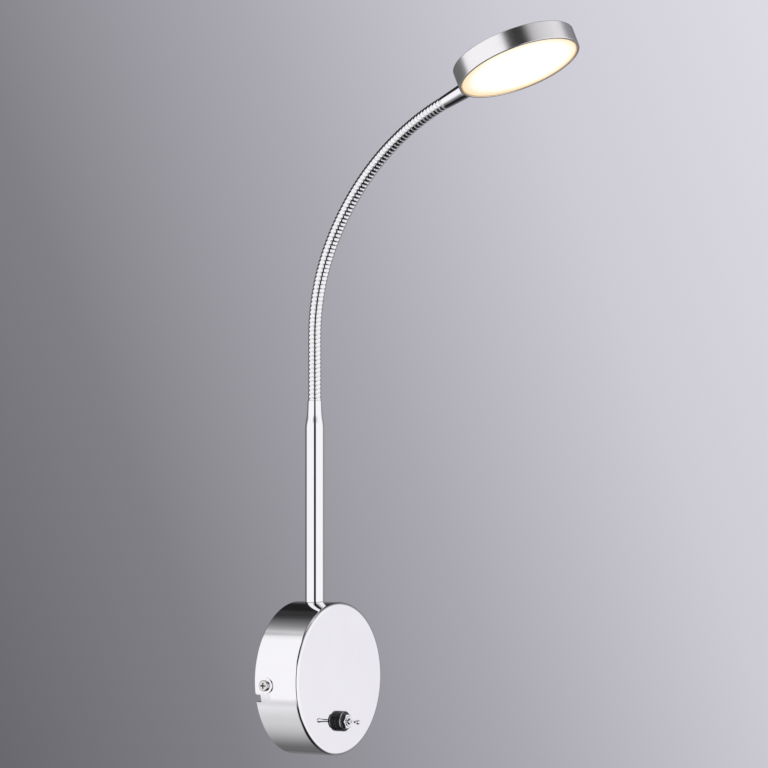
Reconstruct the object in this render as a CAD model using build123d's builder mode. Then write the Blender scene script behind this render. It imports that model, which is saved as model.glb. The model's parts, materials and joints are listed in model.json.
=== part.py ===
from build123d import *
import os
from math import cos, pi, radians, sin, sqrt, tan

# A wall reading lamp in millimetres. The wall is the plane y = 0 and the lamp stands out
# towards -Y, so "forward" is distance from the wall. +Z is up, +X is to the right of
# someone facing the lamp. The origin is on the wall, at the canopy's axis.

os.makedirs("parts", exist_ok=True)

# ---- driving dimensions ----

# canopy: a round cup drawn from sheet
canopy_radius = 40.0
canopy_depth = 26.5
canopy_wall = 1.0
canopy_edge_radius = 1.4

# canopy screws and the bayonet slots that they sit in
canopy_screw_radius = 2.0
canopy_screw_forward = 7.1
canopy_screw_drop = 2.0
canopy_screw_length = 7.5
canopy_screw_head_radius = 2.95
canopy_screw_head_height = 2.0
screw_recess_width = 3.2
screw_recess_bar = 0.8
screw_recess_depth = 1.2
screw_recess_taper = 12.0
canopy_washer_radius = 4.25
canopy_washer_thickness = 0.8
bayonet_turn = 6.6
bayonet_width = 4.4

# wall bracket: a strip with a round middle and two curved ears
bracket_thickness = 1.5
bracket_width = 14.0
bracket_hub_radius = 12.0
cable_hole_radius = 6.0
wall_slot_spacing = 60.0
wall_slot_length = 8.0
wall_slot_radius = 2.25
ear_thickness = 1.5
ear_reach = 13.0
ear_below = 11.0
ear_above = 6.0
ear_relief = 2.5
ear_boss_radius = 3.5
ear_boss_thickness = 0.75

# stem: a tube swaged down at its top, threaded at its foot
stem_radius = 5.0
stem_wall = 1.0
stem_forward = 10.5
stem_top = 145.6
swage_start = 131.0
swage_end = 140.0
swage_bore_lead = 1.0
stem_top_radius = 3.95
stem_top_wall = 0.75
stem_thread_radius = 3.9
stem_thread_bore = 2.9
stem_saddle_height = 5.0
stem_saddle_width = 16.0
stem_saddle_depth = 13.0
stem_saddle_corner = 1.5
stem_washer_radius = 7.0
stem_washer_thickness = 0.6
stem_nut_flats = 13.0
stem_nut_height = 4.0
stem_thread_spare = 1.5

# gooseneck: ribbed hose, in rigid lengths that meet in ball joints at a groove
neck_radius = 3.5
neck_root_radius = 2.85
neck_bore_radius = 1.6
neck_joint_count = 11
rib_count = 7
rib_groove_half = 0.42
rib_flank = 0.33
ball_radius = 2.45
ball_nose = 1.6
ball_clearance = 0.05
neck_straight = 33.0
lower_bend_radius = 118.5
lower_bend_angle = 23.5
upper_bend_radius = 144.7
head_rise = 25.3

# nipples that join the gooseneck to the stem and to the ferrule
nipple_clearance = 0.05
lower_nipple_length = 12.0
upper_nipple_length = 8.0
nipple_spigot_radius = 1.5
nipple_spigot_length = 5.0
nipple_bore_radius = 1.0
nipple_end_gap = 1.0

# ferrule between gooseneck and head
ferrule_length = 15.5
ferrule_head_radius = 4.4
ferrule_bore_radius = 2.6
ferrule_thread_radius = 2.25
ferrule_thread_bore = 1.3
ferrule_washer_radius = 3.0
ferrule_washer_thickness = 0.4
ferrule_nut_flats = 6.2
ferrule_nut_height = 1.8
ferrule_thread_spare = 0.6
ferrule_floor = 1.0

# head: a flat round cup, its lit face down, rolled a little about the ferrule's axis
head_radius = 32.5
head_thickness = 10.0
head_wall = 1.2
head_edge_chamfer = 0.35
head_roll = 3.3
diffuser_thickness = 1.2
diffuser_recess = 0.4
diffuser_clearance = 0.2
board_gap = 1.3
board_thickness = 1.2
board_hole_radius = 4.0
chip_length = 3.5
chip_width = 2.8
chip_height = 0.8
outer_chip_inset = 6.5
chip_ring_gap = 11.056
inner_chip_count = 6
outer_chip_count = 12
board_screw_inset = 5.556
board_screw_turn = 60.0
board_screw_count = 3
board_screw_radius = 1.0
board_screw_head_radius = 1.9
board_screw_head_height = 1.2
board_screw_length = 2.0
reflector_wall = 1.6
reflector_gap = 9.0

# toggle switch in the canopy's face
switch_drop = 22.0
bushing_radius = 2.5
bushing_reach = 5.8
bushing_mouth_radius = 1.75
bushing_lip_angle = 37.0
ring_nut_radius = 5.35
ring_nut_height = 3.8
ring_nut_bevel = 0.9
ring_nut_foot_bevel = 0.3
ring_nut_shoulder = 0.45, 0.225
ring_nut_land = 1.1
face_nut_flats = 7.0
face_nut_height = 1.6
back_nut_flats = 7.0
back_nut_height = 1.6
switch_washer_radius = 3.9
switch_washer_thickness = 0.5
switch_plate_thickness = 0.8
plate_hole_clearance = 0.3
housing_length = 12.6
housing_width = 8.2
housing_depth = 9.0
housing_wall = 1.1
housing_corner = 0.8
lever_throw = 22.0
lever_pivot_reach = 2.9
lever_ball_radius = 1.5
lever_ball_clearance = 0.05
lever_neck_radius = 0.8
lever_flare_radius = 0.88
lever_tip_radius = 1.3
lever_tip_reach = 12.4
lever_arm_radius = 0.5
lever_arm_length = 8.2
plunger_radius = 0.85
plunger_length = 1.9
rocker_half_length = 3.6
rocker_width = 2.6
rocker_thickness = 0.6
rocker_slope = 8.0
rocker_vertex_rise = 0.9
rocker_foot_half = 0.9
rocker_foot_rise = 0.1
rocker_foot_flare = 0.3
fulcrum_radius = 0.45
fulcrum_clearance = 0.05
fulcrum_web = 0.15
contact_pitch = 3.1
contact_width = 1.8
contact_thickness = 0.6
contact_tail = 4.0
contact_gap = 0.3

# LED driver, held to the canopy's face by an adhesive pad
driver_length = 22.0
driver_width = 17.0
driver_depth = 12.0
driver_wall = 1.2
driver_lid_thickness = 1.4
driver_lid_lip = 1.0
driver_corner_radius = 1.5
driver_bearing = 37.0
driver_gap = 0.8
pad_thickness = 0.8
pad_inset = 3.0

# terminal block and earth screw on the bracket
terminal_centre_x = 15.0
terminal_length = 14.0
terminal_width = 10.0
terminal_base_height = 4.0
terminal_corner = 1.0
terminal_floor = 1.5
terminal_pitch = 8.6
terminal_tower_radius = 2.9
terminal_tower_height = 10.0
terminal_wire_radius = 1.5
terminal_screw_radius = 1.25
terminal_clamp_radius = 2.1
terminal_clamp_rise = 2.5
terminal_screw_head_height = 1.6
terminal_screw_gap = 0.6
terminal_slot_width = 0.6
terminal_slot_depth = 0.8
terminal_fixing_radius = 1.25
terminal_fixing_head_radius = 1.7
terminal_fixing_head_height = 1.3
terminal_fixing_reach = 1.2
earth_screw_x = 18.5
earth_screw_radius = 1.75
earth_screw_head_radius = 3.2
earth_screw_head_height = 2.2
earth_washer_radius = 3.6
earth_washer_thickness = 0.6

# every screw and nut: the head's outline and the shank's end as shares of their own sizes
pan_rim = 0.45
pan_shoulder = 0.86, 0.82
pan_crown = 0.55
shank_end_width = 0.7
shank_end_length = 0.3
nut_side_count = 6
nut_break_angle = 30.0

# clearances
screw_clearance = 0.06
slip_clearance = 0.1
seat_clearance = 0.05

# ---- planes and values that follow ----

canopy_inner_radius = canopy_radius - canopy_wall
canopy_face_inside = canopy_depth - canopy_wall
wall_plane = Plane.XZ
neck_bends = radians(lower_bend_angle), radians(90 - head_rise - lower_bend_angle)
neck_runs = [
    (neck_straight, None),
    (lower_bend_radius * neck_bends[0], lower_bend_radius),
    (upper_bend_radius * neck_bends[1], upper_bend_radius),
    (head_radius, None),
]
neck_total = sum(run for run, radius in neck_runs[:3])
neck_length_count = neck_joint_count + 1
rib_pitch = neck_total / (neck_length_count * rib_count)
length_pitch = rib_pitch * rib_count


def keep(part, label):
    """Label a finished piece and write it to its own file."""
    part.label = label
    export_step(part, f"parts/{label}.step")


def side_plane(side, reach):
    """Plane facing out of the canopy's side; x runs forward, y up at the left, down at the right."""
    return Plane(origin=(side * reach, 0, 0), x_dir=(0, -1, 0), z_dir=(side, 0, 0))


def turned(plane, outline, mode=Mode.ADD):
    """Revolve an outline of (radius, height) points about the normal of a plane."""
    upright = Plane(origin=plane.origin, x_dir=plane.x_dir, z_dir=-plane.y_dir)
    with BuildSketch(upright) as profile:
        with BuildLine():
            Polyline(*outline, close=True)
        make_face()
    revolve(profile.sketch, axis=Axis(plane.origin, plane.z_dir), mode=mode)


def hexagon_nut(plane, flats, height, bore_radius):
    """Hexagon nut standing on a plane, its corners broken by a cone at both ends."""
    corner = flats / 2 / cos(pi / nut_side_count)
    with BuildPart() as nut:
        with BuildSketch(plane) as outline:
            RegularPolygon(radius=flats / 2, side_count=nut_side_count, major_radius=False)
        extrude(outline.sketch, amount=height)
        break_height = (corner - flats / 2) * tan(radians(nut_break_angle))
        turned(
            plane,
            [(0, 0), (flats / 2, 0), (corner, break_height), (corner, height - break_height)]
            + [(flats / 2, height), (0, height)],
            Mode.INTERSECT,
        )
        with BuildSketch(plane) as bore:
            Circle(bore_radius)
        extrude(bore.sketch, amount=height, mode=Mode.SUBTRACT)
    return nut.part


def ring(plane, outer_radius, inner_radius, height):
    """Flat washer on a plane."""
    with BuildPart() as washer:
        with BuildSketch(plane) as outline:
            Circle(outer_radius)
            Circle(inner_radius, mode=Mode.SUBTRACT)
        extrude(outline.sketch, amount=height)
    return washer.part


def neck_plane(along):
    """Plane square to the gooseneck's centre line, a distance along it from the stem's top."""
    lean, forward, height = 0.0, stem_forward, stem_top
    for run, radius in neck_runs:
        step = min(along, run)
        turn = step / radius if radius else 0.0
        if radius:
            forward += radius * (cos(lean) - cos(lean + turn))
            height += radius * (sin(lean + turn) - sin(lean))
        else:
            forward += step * sin(lean)
            height += step * cos(lean)
        lean += turn
        along -= step
        if along <= 0:
            break
    return Plane(origin=(0, -forward, height), x_dir=(1, 0, 0), z_dir=(0, -sin(lean), cos(lean)))


# ---- wall bracket ----

ear_outer_radius = canopy_inner_radius - slip_clearance
ear_inner_radius = ear_outer_radius - ear_thickness
bayonet_end = canopy_screw_drop + bayonet_turn

with BuildPart() as wall_bracket:
    with BuildSketch(wall_plane):
        Rectangle(2 * ear_outer_radius, bracket_width)
        Circle(bracket_hub_radius)
        Circle(ear_outer_radius, mode=Mode.INTERSECT)
        Circle(cable_hole_radius, mode=Mode.SUBTRACT)
        with GridLocations(wall_slot_spacing, 0, 2, 1):
            SlotOverall(wall_slot_length, 2 * wall_slot_radius, mode=Mode.SUBTRACT)
    extrude(amount=bracket_thickness)
    for side in (-1, 1):
        # The right ear is the left one turned half a turn about the canopy's axis.
        low = -ear_below if side < 0 else -ear_above
        high = ear_above if side < 0 else ear_below
        strip_low = max(low, -bracket_width / 2)
        strip_high = min(high, bracket_width / 2)
        for floor, bottom, top in ((0, strip_low, strip_high), (ear_relief, low, high)):
            with BuildSketch(wall_plane.offset(floor)):
                with Locations((side * ear_outer_radius, (bottom + top) / 2)):
                    Rectangle(ear_outer_radius, top - bottom)
                Circle(ear_outer_radius, mode=Mode.INTERSECT)
                Circle(ear_inner_radius, mode=Mode.SUBTRACT)
            extrude(amount=ear_reach - floor)
        with BuildSketch(side_plane(side, ear_inner_radius - 2 * ear_boss_thickness)):
            with Locations((canopy_screw_forward, -canopy_screw_drop)):
                Circle(ear_boss_radius)
        extrude(amount=3 * ear_boss_thickness)
        with BuildSketch(side_plane(side, 0)):
            with Locations((canopy_screw_forward, -canopy_screw_drop)):
                Circle(canopy_screw_radius + screw_clearance)
        extrude(amount=canopy_radius, mode=Mode.SUBTRACT)
    with BuildSketch(wall_plane):
        with Locations((earth_screw_x, 0)):
            Circle(earth_screw_radius + screw_clearance)
        with Locations((-terminal_centre_x, 0)):
            Circle(terminal_fixing_radius + screw_clearance)
    extrude(amount=bracket_thickness, mode=Mode.SUBTRACT)
keep(wall_bracket.part, "wall_bracket")

# ---- canopy ----

with BuildPart() as canopy:
    with BuildSketch(wall_plane):
        Circle(canopy_radius)
    extrude(amount=canopy_depth)
    face_edge = canopy.edges().sort_by(Axis.Y)[0]
    fillet(face_edge, radius=canopy_edge_radius)
    with BuildSketch(wall_plane):
        Circle(canopy_inner_radius)
    extrude(amount=canopy_face_inside, mode=Mode.SUBTRACT)
    for side in (-1, 1):
        with BuildSketch(side_plane(side, 0)):
            slot_end = canopy_screw_forward + bayonet_width / 2
            with Locations((slot_end / 2, -bayonet_end)):
                Rectangle(slot_end, bayonet_width)
            with Locations((canopy_screw_forward, -(canopy_screw_drop + bayonet_end) / 2)):
                SlotCenterToCenter(bayonet_turn, bayonet_width, rotation=90)
        extrude(amount=canopy_radius, mode=Mode.SUBTRACT)
    with BuildSketch(Plane.XY):
        with Locations((0, -stem_forward)):
            Circle(stem_thread_radius + slip_clearance)
    extrude(amount=canopy_radius, mode=Mode.SUBTRACT)
    with BuildSketch(wall_plane):
        with Locations((0, -switch_drop)):
            Circle(bushing_radius + slip_clearance)
    extrude(amount=canopy_depth, mode=Mode.SUBTRACT)
keep(canopy.part, "canopy")

# ---- canopy screws and washers ----


def cross_recess(plane):
    """Two crossed tapering slots sunk into a screw's head."""
    for turn in (0, 90):
        with BuildSketch(plane) as bar:
            Rectangle(screw_recess_width, screw_recess_bar, rotation=turn)
        extrude(
            bar.sketch,
            amount=-screw_recess_depth,
            taper=screw_recess_taper,
            mode=Mode.SUBTRACT,
        )


def pan_outline(head_radius_, head_height, shank_radius, shank_length):
    """Half outline of a pan-head screw whose head stands on height zero."""
    return [
        (0, -shank_length),
        (shank_radius * shank_end_width, -shank_length),
        (shank_radius, -shank_length + shank_radius * shank_end_length),
        (shank_radius, 0),
        (head_radius_, 0),
        (head_radius_, head_height * pan_rim),
        (head_radius_ * pan_shoulder[0], head_height * pan_shoulder[1]),
        (head_radius_ * pan_crown, head_height),
        (0, head_height),
    ]


with BuildPart() as canopy_screw_washers:
    for side in (-1, 1):
        with BuildSketch(side_plane(side, canopy_radius)):
            with Locations((canopy_screw_forward, -canopy_screw_drop)):
                Circle(canopy_washer_radius)
                Circle(canopy_screw_radius + slip_clearance, mode=Mode.SUBTRACT)
        extrude(amount=canopy_washer_thickness)
keep(canopy_screw_washers.part, "canopy_screw_washers")

with BuildPart() as canopy_screws:
    for side in (-1, 1):
        seat = side_plane(side, canopy_radius + canopy_washer_thickness)
        seat = seat.shift_origin(seat.from_local_coords((canopy_screw_forward, -canopy_screw_drop, 0)))
        turned(
            seat,
            pan_outline(
                canopy_screw_head_radius,
                canopy_screw_head_height,
                canopy_screw_radius,
                canopy_screw_length,
            ),
        )
        cross_recess(seat.offset(canopy_screw_head_height))
keep(canopy_screws.part, "canopy_screws")

# ---- stem, and what locks it to the canopy ----

saddle_floor = canopy_inner_radius - stem_saddle_height
stem_nut_top = saddle_floor - stem_washer_thickness
stem_foot = stem_nut_top - stem_nut_height - stem_thread_spare
stem_bore_radius = stem_radius - stem_wall
bore_swage_start = swage_start - swage_bore_lead
bore_top = stem_top_radius - stem_top_wall
stem_axis_plane = Plane(origin=(0, -stem_forward, 0))
stem_section = Plane(origin=(0, -stem_forward, 0), x_dir=(1, 0, 0), z_dir=(0, -1, 0))

with BuildPart() as stem:
    with BuildSketch(stem_section):
        with BuildLine():
            Line((0, saddle_floor), (stem_radius, saddle_floor))
            Line((stem_radius, saddle_floor), (stem_radius, swage_start))
            Spline(
                (stem_radius, swage_start),
                (stem_top_radius, swage_end),
                tangents=[(0, 1), (0, 1)],
            )
            Polyline((stem_top_radius, swage_end), (stem_top_radius, stem_top), (0, stem_top))
            Line((0, stem_top), (0, saddle_floor))
        make_face()
    revolve(axis=Axis((0, -stem_forward, 0), (0, 0, 1)))
    with BuildSketch(wall_plane):
        Circle(canopy_radius)
    extrude(amount=canopy_depth, mode=Mode.SUBTRACT)
    with BuildSketch(stem_axis_plane.offset(stem_foot)):
        Circle(stem_thread_radius)
    extrude(amount=canopy_radius + stem_radius - stem_foot)
    with BuildSketch(stem_axis_plane.offset(stem_foot)):
        Circle(stem_thread_bore)
    extrude(amount=stem_top - stem_foot, mode=Mode.SUBTRACT)
    with BuildSketch(stem_section):
        with BuildLine():
            Line((0, canopy_radius + stem_radius), (stem_bore_radius, canopy_radius + stem_radius))
            Line((stem_bore_radius, canopy_radius + stem_radius), (stem_bore_radius, bore_swage_start))
            Spline(
                (stem_bore_radius, bore_swage_start),
                (bore_top, stem_top - lower_nipple_length),
                tangents=[(0, 1), (0, 1)],
            )
            Polyline((bore_top, stem_top - lower_nipple_length), (bore_top, stem_top), (0, stem_top))
            Line((0, stem_top), (0, canopy_radius + stem_radius))
        make_face()
    revolve(axis=Axis((0, -stem_forward, 0), (0, 0, 1)), mode=Mode.SUBTRACT)
keep(stem.part, "stem")

with BuildPart() as stem_saddle:
    with BuildSketch(stem_axis_plane.offset(saddle_floor)):
        RectangleRounded(stem_saddle_width, stem_saddle_depth, stem_saddle_corner)
        Circle(stem_thread_radius + slip_clearance, mode=Mode.SUBTRACT)
    extrude(amount=stem_saddle_height)
    with BuildSketch(wall_plane):
        Circle(canopy_inner_radius - seat_clearance)
    extrude(amount=canopy_depth, mode=Mode.INTERSECT)
keep(stem_saddle.part, "stem_saddle")

stem_washer = ring(
    stem_axis_plane.offset(saddle_floor - stem_washer_thickness),
    stem_washer_radius,
    stem_thread_radius + slip_clearance,
    stem_washer_thickness,
)
keep(stem_washer, "stem_lock_washer")

stem_nut = hexagon_nut(
    stem_axis_plane.offset(stem_nut_top - stem_nut_height),
    stem_nut_flats,
    stem_nut_height,
    stem_thread_radius + screw_clearance,
)
keep(stem_nut, "stem_nut")

# ---- gooseneck: each rib is a ruled loft through four circles ----

rib_stations = [
    (rib_groove_half, neck_root_radius),
    (rib_groove_half + rib_flank, neck_radius),
    (rib_pitch - rib_groove_half - rib_flank, neck_radius),
    (rib_pitch - rib_groove_half, neck_root_radius),
]


def neck_length(number):
    """One rigid length: ribs, a bore, a ball at its lower end and a cup at its upper end."""
    first, last = number == 0, number == neck_length_count - 1
    start = number * length_pitch
    stations = []
    for rib in range(rib_count):
        stations += [(start + rib * rib_pitch + step, radius) for step, radius in rib_stations]
    if first:
        stations[:2] = [(0, neck_radius)]
    if last:
        stations[-2:] = [(neck_total, neck_radius)]
    with BuildPart() as length:
        for along, radius in stations:
            with BuildSketch(neck_plane(along)):
                Circle(radius)
        loft(ruled=True)
        if not first:
            joint = neck_plane(start)
            collar = rib_groove_half
            with BuildSketch(Plane(origin=joint.origin, x_dir=joint.x_dir, z_dir=-joint.y_dir)):
                with BuildLine():
                    nose_radius = sqrt(ball_radius**2 - ball_nose**2)
                    collar_radius = sqrt(ball_radius**2 - collar**2)
                    Polyline((0, collar + rib_flank), (0, -ball_nose), (nose_radius, -ball_nose))
                    ThreePointArc(
                        (nose_radius, -ball_nose), (ball_radius, 0), (collar_radius, collar)
                    )
                    Polyline(
                        (collar_radius, collar),
                        (collar_radius, collar + rib_flank),
                        (0, collar + rib_flank),
                    )
                make_face()
            revolve(axis=Axis(joint.origin, joint.z_dir))
        bore_start = start if first else start - ball_nose - rib_flank
        bore_steps = rib_count + 1
        bore_run = (start + length_pitch - bore_start) / bore_steps
        for step in range(bore_steps + 1):
            with BuildSketch(neck_plane(bore_start + step * bore_run)):
                Circle(neck_bore_radius)
        loft(ruled=True, mode=Mode.SUBTRACT)
        if not last:
            with Locations(neck_plane(start + length_pitch)):
                Sphere(ball_radius + ball_clearance, mode=Mode.SUBTRACT)
    return length.part


for number in range(neck_length_count):
    keep(neck_length(number), f"neck_length_{number + 1:02d}")

# ---- nipples ----

neck_end = neck_plane(neck_total)
stem_top_plane = neck_plane(0)


def nipple(plane, body_radius, body_length, spigot_sign):
    """Brass sleeve on a plane at the gooseneck's end, with a spigot up the gooseneck's bore."""
    spigot = spigot_sign * nipple_spigot_length
    body = -spigot_sign * body_length
    with BuildPart() as sleeve:
        turned(
            plane,
            [(nipple_bore_radius, spigot), (nipple_spigot_radius, spigot), (nipple_spigot_radius, 0)]
            + [(body_radius, 0), (body_radius, body), (nipple_bore_radius, body)],
        )
    return sleeve.part


lower_nipple = nipple(stem_top_plane, bore_top - nipple_clearance, lower_nipple_length - nipple_end_gap, 1)
keep(lower_nipple, "neck_lower_nipple")
upper_nipple = nipple(neck_end, ferrule_bore_radius - nipple_clearance, upper_nipple_length, -1)
keep(upper_nipple, "neck_upper_nipple")

# ---- head planes ----

rise, roll = radians(head_rise), radians(head_roll)
head_along = Vector(0, -cos(rise), sin(rise))
head_face = Vector(-sin(roll), -sin(rise) * cos(roll), -cos(rise) * cos(roll))
head_centre = neck_end.origin + head_along * (ferrule_length + head_radius)
head_plane = Plane(origin=head_centre, x_dir=head_along, z_dir=head_face)
back_plane = head_plane.offset(-head_thickness / 2)
floor_plane = head_plane.offset(-head_thickness / 2 + head_wall)
head_inner_radius = head_radius - head_wall
diffuser_back = head_thickness - diffuser_recess - diffuser_thickness

# ---- ferrule with its washer and nut ----

washer_seat = sqrt(head_inner_radius**2 - ferrule_washer_radius**2)
thread_inner = washer_seat - ferrule_washer_thickness - ferrule_nut_height - ferrule_thread_spare
thread_length = ferrule_length + head_radius - thread_inner
board_radius = thread_inner - board_gap
outer_chip_circle = board_radius - outer_chip_inset
inner_chip_circle = outer_chip_circle - chip_ring_gap
board_screw_circle = outer_chip_circle - board_screw_inset

with BuildPart() as ferrule:
    with BuildSketch(neck_end):
        Circle(neck_radius)
    with BuildSketch(neck_end.offset(ferrule_length + head_wall)):
        Circle(ferrule_head_radius)
    loft()
    with BuildSketch(back_plane.offset(-head_thickness)):
        Circle(head_radius)
    extrude(amount=3 * head_thickness, mode=Mode.SUBTRACT)
    with BuildSketch(neck_end.offset(upper_nipple_length + ferrule_floor)):
        Circle(ferrule_thread_radius)
    extrude(amount=thread_length - upper_nipple_length - ferrule_floor)
    with BuildSketch(neck_end):
        Circle(ferrule_bore_radius)
    extrude(amount=upper_nipple_length + seat_clearance, mode=Mode.SUBTRACT)
    with BuildSketch(neck_end):
        Circle(ferrule_thread_bore)
    extrude(amount=thread_length, mode=Mode.SUBTRACT)
keep(ferrule.part, "ferrule")

ferrule_washer_plane = neck_end.offset(ferrule_length + head_radius - washer_seat)
ferrule_washer = ring(
    ferrule_washer_plane,
    ferrule_washer_radius,
    ferrule_thread_radius + slip_clearance,
    ferrule_washer_thickness,
)
keep(ferrule_washer, "ferrule_washer")

nut_seat = ferrule_washer_plane.offset(ferrule_washer_thickness)
ferrule_nut = hexagon_nut(
    # Two flats lie parallel to the head's floor, clear of it and of the diffuser.
    Plane(origin=nut_seat.origin, x_dir=head_plane.y_dir, z_dir=nut_seat.z_dir),
    ferrule_nut_flats,
    ferrule_nut_height,
    ferrule_thread_radius + screw_clearance,
)
keep(ferrule_nut, "ferrule_nut")

# ---- head shell ----

with BuildPart() as head_shell:
    with BuildSketch(back_plane):
        Circle(head_radius)
    extrude(amount=head_thickness)
    chamfer(head_shell.edges().filter_by(GeomType.CIRCLE), head_edge_chamfer)
    with BuildSketch(floor_plane):
        Circle(head_inner_radius)
    extrude(amount=head_thickness, mode=Mode.SUBTRACT)
    with BuildSketch(neck_end):
        Circle(ferrule_thread_radius + slip_clearance)
    extrude(amount=ferrule_length + head_radius, mode=Mode.SUBTRACT)
    with BuildSketch(floor_plane):
        with PolarLocations(board_screw_circle, board_screw_count, start_angle=board_screw_turn):
            Circle(board_screw_radius + screw_clearance)
    extrude(amount=-(board_screw_length - board_thickness), mode=Mode.SUBTRACT)
keep(head_shell.part, "head_shell")

# ---- LED board, chips and screws ----

board_face = floor_plane.offset(board_thickness)

with BuildPart() as led_board:
    with BuildSketch(floor_plane):
        Circle(board_radius)
        Circle(board_hole_radius, mode=Mode.SUBTRACT)
        with PolarLocations(board_screw_circle, board_screw_count, start_angle=board_screw_turn):
            Circle(board_screw_radius + slip_clearance, mode=Mode.SUBTRACT)
    extrude(amount=board_thickness)
keep(led_board.part, "led_board")

with BuildPart() as led_chips:
    with BuildSketch(board_face):
        with PolarLocations(inner_chip_circle, inner_chip_count):
            Rectangle(chip_width, chip_length)
        with PolarLocations(outer_chip_circle, outer_chip_count):
            Rectangle(chip_width, chip_length)
    extrude(amount=chip_height)
keep(led_chips.part, "led_chips")

with BuildPart() as board_screws:
    for spot in PolarLocations(board_screw_circle, board_screw_count, start_angle=board_screw_turn):
        turned(
            Plane(board_face.location * spot),
            pan_outline(
                board_screw_head_radius,
                board_screw_head_height,
                board_screw_radius,
                board_screw_length - seat_clearance,
            ),
        )
keep(board_screws.part, "board_screws")

# ---- reflector ring and diffuser ----

ring_outer_radius = head_inner_radius - diffuser_clearance / 2

with BuildPart() as reflector_ring:
    with BuildSketch(floor_plane):
        Circle(ring_outer_radius)
        Circle(ring_outer_radius - reflector_wall, mode=Mode.SUBTRACT)
        with Locations((-head_radius, 0)):
            Rectangle(head_radius, reflector_gap, mode=Mode.SUBTRACT)
    extrude(amount=diffuser_back - head_wall)
keep(reflector_ring.part, "reflector_ring")

with BuildPart() as diffuser:
    with BuildSketch(back_plane.offset(diffuser_back)):
        Circle(head_inner_radius - diffuser_clearance)
    extrude(amount=diffuser_thickness)
    chamfer(diffuser.edges().filter_by(GeomType.CIRCLE), diffuser_recess / 2)
keep(diffuser.part, "diffuser")

# ---- toggle switch ----

switch_plane = Plane(origin=(0, 0, -switch_drop), x_dir=(1, 0, 0), z_dir=(0, -1, 0))
panel_front = switch_plane.offset(canopy_depth)
back_stack = switch_washer_thickness + back_nut_height
switch_plate_front = canopy_face_inside - back_stack
switch_plate_back = switch_plate_front - switch_plate_thickness
bushing_end = canopy_depth + bushing_reach
lever_pivot = canopy_depth + lever_pivot_reach
half_throw = radians(lever_throw / 2)
ball_seat_radius = lever_ball_radius + lever_ball_clearance
arm_swing = tan(half_throw) * (lever_pivot - switch_plate_back)
plate_hole_radius = arm_swing + lever_arm_radius + plate_hole_clearance
lip_angle = radians(bushing_lip_angle)
lip_radius = ball_seat_radius * cos(lip_angle)
lip_reach = lever_pivot + ball_seat_radius * sin(lip_angle)

with BuildPart() as switch_bushing:
    with BuildSketch(switch_plane.offset(switch_plate_back)):
        Rectangle(housing_length, housing_width)
    extrude(amount=switch_plate_thickness)
    with BuildSketch(switch_plane.offset(switch_plate_front)):
        Circle(bushing_radius)
    extrude(amount=bushing_end - switch_plate_front)
    with BuildSketch(Plane(origin=switch_plane.origin, x_dir=(1, 0, 0), z_dir=(0, 0, -1))):
        # Height in this sketch is distance from the wall.
        with BuildLine():
            Polyline(
                (0, switch_plate_back),
                (plate_hole_radius, switch_plate_back),
                (ball_seat_radius, lever_pivot - lever_ball_radius),
                (ball_seat_radius, lever_pivot),
            )
            seat_middle = Vector(ball_seat_radius).rotate(Axis.Z, bushing_lip_angle / 2)
            seat_middle += Vector(0, lever_pivot)
            ThreePointArc((ball_seat_radius, lever_pivot), seat_middle, (lip_radius, lip_reach))
            Polyline(
                (lip_radius, lip_reach),
                (bushing_mouth_radius, bushing_end),
                (0, bushing_end),
                (0, switch_plate_back),
            )
        make_face()
    revolve(axis=Axis(switch_plane.origin, (0, -1, 0)), mode=Mode.SUBTRACT)
keep(switch_bushing.part, "switch_bushing")

back_nut = hexagon_nut(
    switch_plane.offset(switch_plate_front),
    back_nut_flats,
    back_nut_height,
    bushing_radius + screw_clearance,
)
keep(back_nut, "switch_back_nut")

switch_washer = ring(
    switch_plane.offset(switch_plate_front + back_nut_height),
    switch_washer_radius,
    bushing_radius + slip_clearance,
    switch_washer_thickness,
)
keep(switch_washer, "switch_lock_washer")

with BuildPart() as ring_nut:
    turned(
        panel_front,
        [
            (bushing_radius + screw_clearance, 0),
            (ring_nut_radius - ring_nut_foot_bevel, 0),
            (ring_nut_radius, ring_nut_foot_bevel),
            (ring_nut_radius, ring_nut_height - ring_nut_bevel),
            (ring_nut_radius - ring_nut_shoulder[0], ring_nut_height - ring_nut_shoulder[1]),
            (ring_nut_radius - ring_nut_land, ring_nut_height),
            (bushing_radius + screw_clearance, ring_nut_height),
        ],
    )
keep(ring_nut.part, "switch_ring_nut")

face_nut = hexagon_nut(
    panel_front.offset(ring_nut_height),
    face_nut_flats,
    face_nut_height,
    bushing_radius + screw_clearance,
)
keep(face_nut, "switch_face_nut")

with BuildPart() as switch_housing:
    with BuildSketch(switch_plane.offset(switch_plate_back - housing_depth)):
        Rectangle(housing_length, housing_width)
    extrude(amount=housing_depth)
    fillet(switch_housing.edges().filter_by(Axis.Y), radius=housing_corner)
    with BuildSketch(switch_plane.offset(switch_plate_back - housing_depth + housing_wall)):
        Rectangle(housing_length - 2 * housing_wall, housing_width - 2 * housing_wall)
    extrude(amount=housing_depth, mode=Mode.SUBTRACT)
    with BuildSketch(switch_plane.offset(switch_plate_back - housing_depth)):
        with GridLocations(contact_pitch, 0, 3, 1):
            Rectangle(contact_thickness + 2 * seat_clearance, contact_width + 2 * seat_clearance)
    extrude(amount=housing_wall, mode=Mode.SUBTRACT)
keep(switch_housing.part, "switch_housing")

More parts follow.
